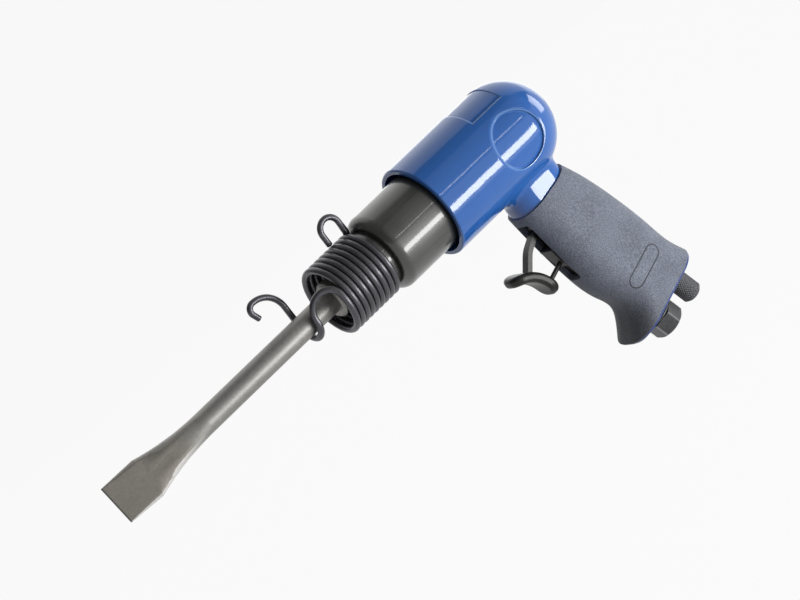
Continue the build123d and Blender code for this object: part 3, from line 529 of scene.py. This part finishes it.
paint = make_paint()
rubber = make_rubber()
forged_steel = make_forged_steel()
gunmetal = make_gunmetal()
spring_steel = plain(
    "spring_wire",
    dark=(0.075, 0.075, 0.084),
    light=(0.1, 0.1, 0.111),
    rough=(0.32, 0.38),
    metallic=0.75,
    depth=0.000001,
)
trigger_black = make_trigger_black()
knob_steel = plain(
    "knob_steel", dark=(0.055, 0.056, 0.062), light=(0.075, 0.076, 0.083), rough=(0.4, 0.5), metallic=0.5
)
hex_steel = make_hex_steel()
washer_black = plain(
    "washer_black", dark=(0.012, 0.012, 0.013), light=(0.028, 0.028, 0.03), rough=(0.4, 0.55), metallic=0.0
)
block_black = plain(
    "block_black", dark=(0.003, 0.003, 0.004), light=(0.007, 0.007, 0.008), rough=(0.5, 0.65), metallic=0.0
)
ground_steel = plain(
    "ground_steel", dark=(0.4, 0.4, 0.41), light=(0.56, 0.56, 0.57), rough=(0.22, 0.34), streak=True
)
seal_black = plain(
    "seal_black", dark=(0.009, 0.009, 0.009), light=(0.02, 0.02, 0.02), rough=(0.6, 0.75), metallic=0.0
)
sieve_brass = plain(
    "sieve_brass", dark=(0.42, 0.29, 0.1), light=(0.6, 0.44, 0.18), rough=(0.35, 0.5), scale=1600.0
)

FINISHES = {
    "housing": paint,
    "barrel": gunmetal,
    "piston": ground_steel,
    "valve_seat": ground_steel,
    "valve_disc": ground_steel,
    "valve_cover": ground_steel,
    "valve_pins": ground_steel,
    "valve_gasket": seal_black,
    "chisel": forged_steel,
    "trigger": trigger_black,
    "trigger_pin": ground_steel,
    "throttle_bushing": block_black,
    "throttle_stem": trigger_black,
    "throttle_seal": seal_black,
    "regulator_seal": seal_black,
    "regulator_pin": ground_steel,
    "inlet_washer": washer_black,
    "inlet_bushing": hex_steel,
    "inlet_screen": sieve_brass,
}
for node, finish in FINISHES.items():
    for material_slot in nodes[node].material_slots:
        material_slot.material = finish


# Rubber sleeve, in millimetres: stations down the handle, with the reach to front, back and side
# and a tilt in degrees
STATION_DROP = np.array([31.8, 47.0, 66.0, 86.0, 99.0, 108.6])
STATION_FRONT = np.array([13.8, 16.3, 18.5, 18.3, 18.5, 28.8])
STATION_BACK = np.array([20.2, 22.0, 22.9, 22.4, 21.9, 23.4])
STATION_HALF = np.array([14.1, 14.6, 15.0, 15.3, 15.5, 15.7])
STATION_TILT = np.array([6.5, 0.0, 0.0, 0.0, 0.0, 0.0])
GRIP_CORNER = 13.0
SLOT_HALF = 5.5
SLOT_ROUND = 2.5
SLOT_TOP = 35.6
SLOT_FOOT = 70.5
GRIP_WALL = 2.9
GRIP_LIP, GRIP_LIP_STEPS, GRIP_LIP_ANGLE = 1.0, 3, math.radians(50)
ROWS_ABOVE, ROWS_ROUND, ROWS_SLOT, ROWS_BELOW = 9, 8, 43, 65
COLS_SLOT, COLS_CORNER, COLS_FLANK, COLS_REAR, COLS_BACK = 8, 28, 14, 30, 3


def spline(at, places, values):
    """Natural cubic spline through the values, as whole arrays.

    On each stretch it is the straight line between two values plus a cubic that follows the bends at
    its ends. The bends make the slopes meet at each inner place and are nothing at both ends.
    """
    gap = np.diff(places)
    count = len(places)
    left = np.eye(count)
    right = np.zeros(count)
    inner = np.arange(1, count - 1)
    left[inner, inner - 1] = gap[:-1]
    left[inner, inner] = 2 * (gap[:-1] + gap[1:])
    left[inner, inner + 1] = gap[1:]
    right[inner] = 6 * (np.diff(values)[1:] / gap[1:] - np.diff(values)[:-1] / gap[:-1])
    curve = np.linalg.solve(left, right)
    k = np.clip(np.searchsorted(places, at, side="right") - 1, 0, count - 2)
    a = (places[k + 1] - at) / gap[k]
    b = 1 - a
    swing = ((a**3 - a) * curve[k] + (b**3 - b) * curve[k + 1]) * gap[k] ** 2 / 6
    return a * values[k] + b * values[k + 1] + swing


def make_sleeve():
    """Skin of the grip: rounded oblongs that swell along the handle, open at the trigger's slot.

    Each row is half a rounded oblong from the middle of the front to the middle of the back, then
    its mirror image: straight sides, and quarter circles of one radius at the corners. A row's
    first columns are as wide as the slot there, so the slot's rounded outline runs along the grid,
    and its quads are left out.
    """
    above = np.linspace(STATION_DROP[0], SLOT_TOP, ROWS_ABOVE + 1)[:-1]
    bow = SLOT_ROUND * (1 - np.cos(np.linspace(0, QUARTER_TURN, ROWS_ROUND + 1)))
    straight = np.linspace(SLOT_TOP + SLOT_ROUND, SLOT_FOOT - SLOT_ROUND, ROWS_SLOT + 1)[1:-1]
    slot = np.concatenate([SLOT_TOP + bow, straight, (SLOT_FOOT - bow)[::-1]])
    below = np.linspace(SLOT_FOOT, STATION_DROP[-1], ROWS_BELOW + 1)[1:]
    drop = np.concatenate([above, slot, below])[:, None]
    inset = np.clip(np.minimum(drop - SLOT_TOP, SLOT_FOOT - drop), 0, SLOT_ROUND)
    wide = SLOT_HALF - SLOT_ROUND + np.sqrt(np.maximum(SLOT_ROUND**2 - (SLOT_ROUND - inset) ** 2, 0))
    front, back, half, tilt = (
        spline(drop, STATION_DROP, values)
        for values in (STATION_FRONT, STATION_BACK, STATION_HALF, STATION_TILT)
    )
    deep = (front + back) / 2 - GRIP_CORNER
    broad = half - GRIP_CORNER
    first = np.linspace(0, 1, COLS_SLOT + 1)[None] * wide
    first_x = deep + np.sqrt(GRIP_CORNER**2 - np.maximum(first - broad, 0) ** 2)
    start = np.arcsin(np.maximum(wide - broad, 0) / GRIP_CORNER)
    turn = start + (QUARTER_TURN - start) * np.linspace(0, 1, COLS_CORNER + 1)[None, 1:]
    turn_x, turn_y = deep + GRIP_CORNER * np.cos(turn), broad + GRIP_CORNER * np.sin(turn)
    flank = deep * np.linspace(1, -1, COLS_FLANK + 1)[None, 1:]
    rear = np.linspace(QUARTER_TURN, math.pi, COLS_REAR + 1)[None, 1:]
    rear_x, rear_y = -deep + GRIP_CORNER * np.cos(rear), broad + GRIP_CORNER * np.sin(rear)
    last = broad * np.linspace(1, 0, COLS_BACK + 1)[None, 1:]
    x = np.concatenate([first_x, turn_x, flank, rear_x, last * 0 - deep - GRIP_CORNER], axis=1)
    y = np.concatenate([first, turn_y, flank * 0 + broad + GRIP_CORNER, rear_y, last], axis=1)
    x = np.concatenate([x, x[:, -2:0:-1]], axis=1) + (front - back) / 2
    y = np.concatenate([y, -y[:, -2:0:-1]], axis=1)
    lean = np.radians(tilt)
    down, ahead = drop - x * np.sin(lean), x * np.cos(lean)
    points = HANDLE + down[..., None] * DOWN + ahead[..., None] * FORE + y[..., None] * LEFT
    rows, cols = np.arange(len(drop) - 1)[:, None], np.arange(x.shape[1])[None]
    in_slot = (rows >= len(above)) & (rows < len(above) + len(slot) - 1)
    gap = in_slot & ((cols < COLS_SLOT) | (cols >= x.shape[1] - COLS_SLOT))
    return mesh_from_grid("grip_sleeve_skin", points, keep=~gap)


sleeve = piece_from_mesh("grip_sleeve_skin", make_sleeve(), "body", rubber)
wall = sleeve.modifiers.new("wall", "SOLIDIFY")
wall.thickness = GRIP_WALL * MM
wall.offset = -1.0
wall.use_even_offset = True
lip = sleeve.modifiers.new("lip", "BEVEL")
lip.width = GRIP_LIP * MM
lip.segments = GRIP_LIP_STEPS
lip.limit_method = "ANGLE"
lip.angle_limit = GRIP_LIP_ANGLE
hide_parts("grip_sleeve")

# Retainer spring, in millimetres
WIRE_R, WIRE_SIDES = 1.45, 32
WIRE_END, WIRE_END_SHARE = 0.25, 0.82
COIL_SWELL, SWELL_POWER = 0.12, 4
COIL_R = 15.925
COIL_PITCH = 3.28
COIL_X = -16.0
COIL_TURNS = 8.73
COIL_FROM = math.radians(20.0)
COIL_TO = COIL_FROM + FULL_TURN * COIL_TURNS
LOOP_R = 5.1
LOOP_TOP = COIL_R + 12.4
LOOP_FOOT = COIL_R + 1.5
LOOP_BEND = 4.0
WRAP_R = 7.875
WRAP_REACH = 14.6
WRAP_LEAD = 0.9
HOOK_RISE = 10.5
HOOK_R = 11.4
HOOK_TIP_R = 3.1
HOOK_TURN = math.radians(112.0)
HOOK_END = 3.4
STRAIGHT_UNDER = 1e-6


def unit(vectors):
    """Vectors at length one: each divided by its length."""
    return vectors / np.linalg.norm(vectors, axis=-1, keepdims=True)


def ring_angles(count):
    """Angles of a ring's points: equal parts of a full turn, without the one that closes it."""
    return np.linspace(0, FULL_TURN, count, endpoint=False)


def coil_line(angle):
    """Points of the coil: a circle about X that climbs by its pitch in each turn."""
    climb = COIL_X + COIL_PITCH * (angle - COIL_FROM) / FULL_TURN
    return np.stack([climb, -COIL_R * np.sin(angle), COIL_R * np.cos(angle)], axis=-1)


def coil_way(angle):
    """Direction of the coil: the circle's tangent with the climb of its pitch."""
    rise = COIL_PITCH / FULL_TURN
    return unit(np.stack([rise + 0 * angle, -COIL_R * np.cos(angle), -COIL_R * np.sin(angle)], axis=-1))


def bend(start, heading, end, count):
    """Arc from a point, in a direction t, to another point: start + r (sin f t + (1 - cos f) m).

    The direction m lies across t, towards the end. An arc that hardly turns is a straight line.
    """
    chord = end - start
    side = chord - chord.dot(heading) * heading
    turn = 2 * math.atan2(np.linalg.norm(side), chord.dot(heading))
    if turn < STRAIGHT_UNDER:
        return start + chord * np.linspace(0, 1, count)[:, None]
    radius = np.linalg.norm(chord) / (2 * math.sin(turn / 2))
    f = np.linspace(0, turn, count)[:, None]
    return start + radius * (np.sin(f) * heading + (1 - np.cos(f)) * unit(side))


def two_bends(start, heading, end, leaving, count):
    """Two arcs between two points and directions, with a common direction where they meet.

    An arm of one length reaches from each end along its direction. The arcs meet halfway between
    the tips of the arms, and the arm is the root of a quadratic that puts the tips two arms apart.
    """
    chord = end - start
    along = chord.dot(heading + leaving)
    turn = 2 * (1 - heading.dot(leaving))
    arm = (math.sqrt(along**2 + turn * chord.dot(chord)) - along) / turn
    first, second = start + heading * arm, end - leaving * arm
    half = (first + second) / 2
    onward = bend(half, unit(second - first), end, count)
    return np.concatenate([bend(start, heading, half, count), onward[1:]])


def make_spring():
    """Round wire carried along a finger loop, the coil, a wrap round the shaft and a hook.

    A ring about each point lies across the wire: point + r (cos a n + sin a b). The ring's first
    direction n is Y on the loop and the hook, X on the coil and the wrap, and turns from one to the
    other on the straight legs between them. Each end is a flat disc with a bevelled rim. Each run
    leaves out its first point, where the run before it ends, so the wire itself starts one step up
    the loop's leg.
    """
    ends = np.array([COIL_FROM, COIL_TO])
    (coil_in, coil_out), (way_in, way_out) = coil_line(ends), coil_way(ends)
    loop_y = coil_in[1] + LOOP_BEND * (1 - math.sin(COIL_FROM))
    loop_z = coil_in[2] + LOOP_BEND * math.cos(COIL_FROM)
    foot = np.array([coil_in[0] + 2 * LOOP_R, loop_y, LOOP_FOOT])
    near = np.array([coil_in[0] + 2 * LOOP_R, loop_y, LOOP_TOP - LOOP_R])
    far = np.array([coil_in[0], loop_y, LOOP_TOP - LOOP_R])
    leg = np.array([coil_in[0], loop_y, loop_z])
    wrap_x = coil_out[0] + WRAP_REACH
    wrap = np.array([wrap_x - WRAP_LEAD, WRAP_R, 0])
    under = np.array([wrap_x, 0, -WRAP_R])
    rise = np.array([wrap_x, -WRAP_R, 0])
    knee = np.array([wrap_x, -WRAP_R, HOOK_RISE])
    crest = np.array([wrap_x + HOOK_R, -WRAP_R, HOOK_RISE + HOOK_R])
    tip = crest + HOOK_TIP_R * (math.sin(HOOK_TURN) * AHEAD - (1 - math.cos(HOOK_TURN)) * UP)
    tip_way = math.cos(HOOK_TURN) * AHEAD - math.sin(HOOK_TURN) * UP
    # Points of each run, and how far n has turned from Y to X at its start and end
    runs = [
        (bend(foot, UP, near, 13), 0, 0),
        (bend(near, UP, far, 81), 0, 0),
        (bend(far, -UP, leg, 17), 0, 1),
        (two_bends(leg, -UP, coil_in, way_in, 20), 1, 1),
        (coil_line(np.linspace(COIL_FROM, COIL_TO, 840)), 1, 1),
        (two_bends(coil_out, way_out, wrap, -UP, 32), 1, 1),
        (two_bends(wrap, -UP, under, RIGHT, 20), 1, 1),
        (bend(under, RIGHT, rise, 32), 1, 1),
        (bend(rise, UP, knee, 27), 1, 0),
        (bend(knee, UP, crest, 50), 0, 0),
        (bend(crest, AHEAD, tip, 40), 0, 0),
        (bend(tip, tip_way, tip + tip_way * HOOK_END, 10), 0, 0),
    ]
    line = np.concatenate([points[1:] for points, *_ in runs])
    share = np.concatenate([np.linspace(a, b, len(points))[1:] for points, a, b in runs])
    twist = share[:, None] * QUARTER_TURN
    way = unit(np.gradient(line, axis=0))
    first = np.cos(twist) * LEFT + np.sin(twist) * AHEAD
    first = unit(first - (first * way).sum(1, keepdims=True) * way)
    second = np.cross(way, first)
    around = ring_angles(WIRE_SIDES)[None, :, None]
    ring = np.cos(around) * first[:, None] + np.sin(around) * second[:, None]
    radius = (WIRE_R + COIL_SWELL * np.sin(twist) ** SWELL_POWER)[..., None]
    cap = np.array([0.0, WIRE_END_SHARE * WIRE_R])[:, None, None]
    points = np.concatenate(
        [
            line[0] - way[0] * WIRE_END + cap * ring[:1],
            line[:, None] + radius * ring,
            line[-1] + way[-1] * WIRE_END + cap[::-1] * ring[-1:],
        ]
    )
    return mesh_from_grid("retainer_spring_wire", points)


spring = piece_from_mesh("retainer_spring_wire", make_spring(), "body", spring_steel)
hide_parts("retainer_spring")

# Throttle spring, in millimetres, built at one length; the real spring shortens as the trigger is pulled
THROTTLE_DROP = 59.6
THROTTLE_FORE, THROTTLE_BACK = -0.05, -13.0
THROTTLE_TURNS, THROTTLE_STEPS = 4, 40
THROTTLE_R = 2.8
THROTTLE_WIRE, THROTTLE_SIDES = 0.4, 10
THROTTLE_PLAY = 0.1


def make_throttle_spring():
    """Round wire carried along a helix that runs back into the handle: point + r (cos a n + sin a b).

    The ring's first direction n points away from the helix's axis. Each end is a flat disc.
    """
    share = np.linspace(0, 1, THROTTLE_STEPS * THROTTLE_TURNS + 1)[:, None]
    turn = FULL_TURN * THROTTLE_TURNS * share
    room = THROTTLE_FORE - THROTTLE_BACK - 2 * THROTTLE_PLAY - 2 * THROTTLE_WIRE
    out = np.cos(turn) * LEFT + np.sin(turn) * DOWN
    ahead = THROTTLE_FORE - THROTTLE_PLAY - THROTTLE_WIRE - room * share
    line = HANDLE + THROTTLE_DROP * DOWN + ahead * FORE + THROTTLE_R * out
    way = unit(np.gradient(line, axis=0))
    second = np.cross(way, out)
    around = ring_angles(THROTTLE_SIDES)[None, :, None]
    ring = THROTTLE_WIRE * (np.cos(around) * out[:, None] + np.sin(around) * second[:, None])
    start, end = line[:1, None] + 0 * ring[:1], line[-1:, None] + 0 * ring[-1:]
    return mesh_from_grid("throttle_spring_wire", np.concatenate([start, line[:, None] + ring, end]))


coil = piece_from_mesh("throttle_spring_wire", make_throttle_spring(), "body", spring_steel)
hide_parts("throttle_spring")
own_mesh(coil)

# Regulator knob, in millimetres
FOOT_END = 109.8
KNOB_R = 5.3
KNOB_TOP = FOOT_END + 0.3
KNOB_END = KNOB_TOP + 16.6
KNOB_BEVEL = 0.4
KNOB_CHAMFER, KNOB_CHAMFER_END, KNOB_FACE_IN = 1.5, 0.2, 1.6
KNURLS, KNURL_SIDES, KNURL_ROWS = 30, 8, 100
KNURL_TOP, KNURL_END = KNOB_TOP + 1.7, KNOB_END - 1.8
KNURL_PITCH, KNURL_DEEP, KNURL_STEEP, KNURL_MARGIN = 1.92, 0.28, 1.6, 0.1
STEM_R, STEM_TOP = 4.0, 78.0
PIN_GROOVE_R, PIN_GROOVE_TOP, PIN_GROOVE_END = 2.5, 96.9, 99.1
SEAL_GROOVE_R, SEAL_GROOVE_TOP, SEAL_GROOVE_END = 2.7, 102.98, 104.82


def about(axis_point, drop, radius, angle):
    """Points about an axis down the handle: point + drop down + radius (cos a fore + sin a left)."""
    drop, radius, angle = np.broadcast_arrays(drop, radius, angle)
    out = np.cos(angle)[..., None] * FORE + np.sin(angle)[..., None] * LEFT
    return axis_point + drop[..., None] * DOWN + radius[..., None] * out


def make_knob():
    """Turned knob with its stem: a profile about the axis, with a diamond knurl cut into its grip.

    The stem has a groove for the cross pin and one for the seal. The knurl's height is the lesser
    of two triangle waves that wind left and right, made steeper and levelled off at one.
    """
    stem = [
        (STEM_TOP, 0),
        (STEM_TOP, STEM_R),
        (PIN_GROOVE_TOP, STEM_R),
        (PIN_GROOVE_TOP, PIN_GROOVE_R),
        (PIN_GROOVE_END, PIN_GROOVE_R),
        (PIN_GROOVE_END, STEM_R),
        (SEAL_GROOVE_TOP, STEM_R),
        (SEAL_GROOVE_TOP, SEAL_GROOVE_R),
        (SEAL_GROOVE_END, SEAL_GROOVE_R),
        (SEAL_GROOVE_END, STEM_R),
    ]
    shoulder = [
        (KNOB_TOP, STEM_R),
        (KNOB_TOP, KNOB_R - KNOB_BEVEL),
        (KNOB_TOP + KNOB_BEVEL, KNOB_R),
        (KNOB_TOP + KNOB_CHAMFER, KNOB_R),
    ]
    knurled = np.stack([np.linspace(KNURL_TOP, KNURL_END, KNURL_ROWS), np.full(KNURL_ROWS, KNOB_R)], axis=1)
    end = [
        (KNOB_END - KNOB_CHAMFER, KNOB_R),
        (KNOB_END - KNOB_CHAMFER_END, KNOB_R - KNOB_CHAMFER + KNOB_CHAMFER_END),
        (KNOB_END, KNOB_R - KNOB_FACE_IN),
        (KNOB_END, 0),
    ]
    drop, radius = np.concatenate([stem, shoulder, knurled, end]).T[..., None]
    angle = ring_angles(KNURL_SIDES * KNURLS)[None]
    wind = drop / KNURL_PITCH
    phase = angle * KNURLS / FULL_TURN
    one, two = (np.abs(2 * np.mod(phase + way * wind, 1.0) - 1) for way in (1, -1))
    cut = KNURL_DEEP * (1 - np.minimum(1, KNURL_STEEP * np.minimum(one, two)))
    cut *= (drop > KNURL_TOP - KNURL_MARGIN) & (drop < KNURL_END + KNURL_MARGIN)
    return mesh_from_grid(
        "regulator_knob_turned", about(HANDLE - REGULATOR_AFT * FORE, drop, radius - cut, angle)
    )


# Air inlet, in millimetres: collar ridges and thread
COLLAR_TOP = FOOT_END + 1.8
COLLAR_LEN, COLLAR_R, COLLAR_INNER = 3.4, 7.15, 6.9
RIDGES, RIDGE_DEEP, RIDGE_FULLNESS, RIDGE_STEPS = 2, 0.75, 0.7, 24
HEX_TOP = COLLAR_TOP + COLLAR_LEN
MOUTH = HEX_TOP + 8.4
THREAD_TOP, THREAD_END = MOUTH - 8.9, MOUTH - 0.1
THREAD_R, THREAD_DEEP, THREAD_PITCH, THREAD_EASE = 5.7, 0.62, 1.337, 0.8
CREST_STEEP, CREST_FLAT = 1.3, 0.15
THREAD_ROWS, INLET_SIDES = 120, 72
INLET_AXIS = HANDLE + INLET_AHEAD * FORE


def make_thread():
    """Female thread: a levelled triangle wave in radius, once round for each pitch, with faded ends."""
    drop = np.linspace(THREAD_TOP, THREAD_END, THREAD_ROWS)[:, None]
    angle = ring_angles(INLET_SIDES)[None]
    wave = np.abs(2 * np.mod(drop / THREAD_PITCH - angle / FULL_TURN, 1.0) - 1)
    ease = np.clip(np.minimum(drop - drop[0], drop[-1] - drop) / THREAD_EASE, 0, 1)
    radius = THREAD_R - THREAD_DEEP * ease * np.clip(CREST_STEEP * wave - CREST_FLAT, 0, 1)
    return mesh_from_grid("inlet_thread", about(INLET_AXIS, drop, radius, angle)[::-1])


def make_rings():
    """Two ridges on the inlet's collar: half sine waves in radius, made fuller by a power.

    A wall inside the collar closes them.
    """
    rise = np.linspace(0, RIDGES, RIDGES * RIDGE_STEPS + 1)
    ridge = COLLAR_R + RIDGE_DEEP * np.abs(np.sin(math.pi * rise)) ** RIDGE_FULLNESS
    drop = np.concatenate([COLLAR_TOP + COLLAR_LEN * rise / RIDGES, [HEX_TOP, COLLAR_TOP, COLLAR_TOP]])
    radius = np.concatenate([ridge, [COLLAR_INNER, COLLAR_INNER, COLLAR_R]])
    angle = ring_angles(INLET_SIDES)[None]
    return mesh_from_grid("inlet_rings", about(INLET_AXIS, drop[:, None], radius[:, None], angle))


knob = piece_from_mesh("regulator_knob_turned", make_knob(), "regulator", knob_steel)
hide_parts("regulator_knob")
piece_from_mesh("inlet_thread", make_thread(), "body", hex_steel, solid=False)
piece_from_mesh("inlet_rings", make_rings(), "body", hex_steel)

# Floor and sky: the drop under the tool in metres, the floor's shape in millimetres
FLOOR_DROP = 0.12
FLOOR_FLAT, FLOOR_RISE = 8000.0, 1700.0
FLOOR_STEPS, FLOOR_SIDES = 12, 96
FLOOR_GREY, FLOOR_ROUGH, FLOOR_GLOW = 0.5, 0.9, 0.93
WHITE = (1, 1, 1, 1)
SKY_LEVEL = 0.22


def make_floor():
    """Round studio floor: flat under the tool, and its rim sweeps up as a quarter circle."""
    bow = np.linspace(0, QUARTER_TURN, FLOOR_STEPS + 1)
    reach = np.concatenate([[0.0], FLOOR_FLAT + FLOOR_RISE * np.sin(bow)])[:, None]
    rise = np.concatenate([[0.0], FLOOR_RISE * (1 - np.cos(bow))])[:, None]
    angle = ring_angles(FLOOR_SIDES)[None]
    height = (cad_box[0].z - FLOOR_DROP) / MM + rise + 0 * angle
    return mesh_from_grid("floor", np.stack([reach * np.cos(angle), reach * np.sin(angle), height], axis=-1))


def make_floor_finish():
    """Floor that glows white to the camera and in reflections, with a small share of its shaded grey."""
    material, tree, shader = new_material("studio_floor")
    shader.inputs["Base Color"].default_value = (FLOOR_GREY, FLOOR_GREY, FLOOR_GREY, 1)
    shader.inputs["Roughness"].default_value = FLOOR_ROUGH
    seen = put(tree, "ShaderNodeLightPath").outputs
    rays = maths(tree, "MAXIMUM", seen["Is Camera Ray"], seen["Is Glossy Ray"])
    rays = maths(tree, "MAXIMUM", rays, seen["Is Transmission Ray"])
    glow = put(tree, "ShaderNodeEmission", {"Color": WHITE, "Strength": 1.0})
    shares = {0: product(tree, rays, FLOOR_GLOW), 1: shader.outputs[0], 2: glow.outputs[0]}
    shown = put(tree, "ShaderNodeMixShader", shares)
    out = next(made for made in tree.nodes if made.type == "OUTPUT_MATERIAL")
    wire(tree, shown.outputs[0], out.inputs["Surface"])
    return material


floor_mesh = make_floor()
floor_mesh.materials.append(make_floor_finish())
floor = bpy.data.objects.new("floor", floor_mesh)
scene.collection.objects.link(floor)

world = bpy.data.worlds.new("studio")
scene.world = world
world.use_nodes = True
sky = world.node_tree.nodes["Background"]
sky.inputs["Color"].default_value = WHITE
sky.inputs["Strength"].default_value = SKY_LEVEL

# Light, in metres
LAMP_AIM = Vector((-0.06, 0.01, -0.01))
ALONG_TOOL, ALONG_UP = Vector((1, 0, 0)), Vector((0, 0, 1))


def softbox(name, away, distance, size, level, along=ALONG_TOOL, spread_angle=180.0):
    """Soft rectangular lamp of a set brightness, `away` from the body, with its length along a direction."""
    data = bpy.data.lights.new(name, "AREA")
    data.shape = "RECTANGLE"
    data.size, data.size_y = size
    data.energy = level * math.pi * size[0] * size[1]
    data.spread = math.radians(spread_angle)
    lamp = bpy.data.objects.new(name, data)
    scene.collection.objects.link(lamp)
    back = Vector(away).normalized()
    across = (along - along.dot(back) * back).normalized()
    faced = Matrix((across, back.cross(across), back)).transposed().to_4x4()
    lamp.matrix_world = Matrix.Translation(LAMP_AIM + back * distance) @ faced
    lamp.visible_camera = False


softbox("softbox_side", away=(-0.437, 0.84, -0.32), distance=0.42, size=(0.34, 0.095), level=14.5)
softbox("halo_side", away=(-0.437, 0.81, -0.39), distance=0.44, size=(0.38, 0.16), level=1.2)
softbox("strip_side", away=(-0.435, 0.857, 0.272), distance=0.6, size=(0.26, 0.012), level=9.0)
softbox(
    "softbox_front",
    away=(-0.427, 0.838, 0.339),
    distance=0.8,
    size=(1.8, 1.2),
    level=0.19,
    spread_angle=125.0,
)
softbox("softbox_rear", away=(-0.98, 0.05, 0.03), distance=0.6, size=(0.24, 0.2), level=5.0, along=ALONG_UP)
softbox(
    "softbox_back",
    away=(-0.427, -0.7, 0.56),
    distance=0.8,
    size=(1.6, 1.5),
    level=0.55,
    spread_angle=120.0,
)

# Camera at the photograph's angle, in metres and pixels: the body's rim lies off the picture's middle
RIM = Vector((-0.05, 0, 0))
TOWARD = Vector((0.427, 0.869, 0.25))
ACROSS = Vector((-0.65046, 0.48724, -0.58266))
UPRIGHT = TOWARD.cross(ACROSS)
PICTURE_WIDE, FOCAL = 800.0, 4500.0
RIM_RIGHT, RIM_UP = 22.0, 86.9
CAMERA_AWAY, CAMERA_CLIP = 2.0, 60.0
SENSOR_WIDE = 36.0


def make_camera():
    """Camera at a set distance from the rim, turned so that the rim falls on its place in the picture."""
    aim = (-TOWARD - ACROSS * (RIM_RIGHT / FOCAL) - UPRIGHT * (RIM_UP / FOCAL)).normalized()
    right = (ACROSS - ACROSS.dot(aim) * aim).normalized()
    data = bpy.data.cameras.new("camera")
    data.sensor_width = SENSOR_WIDE
    data.lens = FOCAL * SENSOR_WIDE / PICTURE_WIDE
    data.clip_end = CAMERA_CLIP
    made = bpy.data.objects.new("camera", data)
    scene.collection.objects.link(made)
    turned = Matrix((right, (-aim).cross(right), -aim)).transposed().to_4x4()
    made.matrix_world = Matrix.Translation(RIM + TOWARD * CAMERA_AWAY) @ turned
    return made


scene.camera = make_camera()
scene.view_settings.view_transform = "Standard"
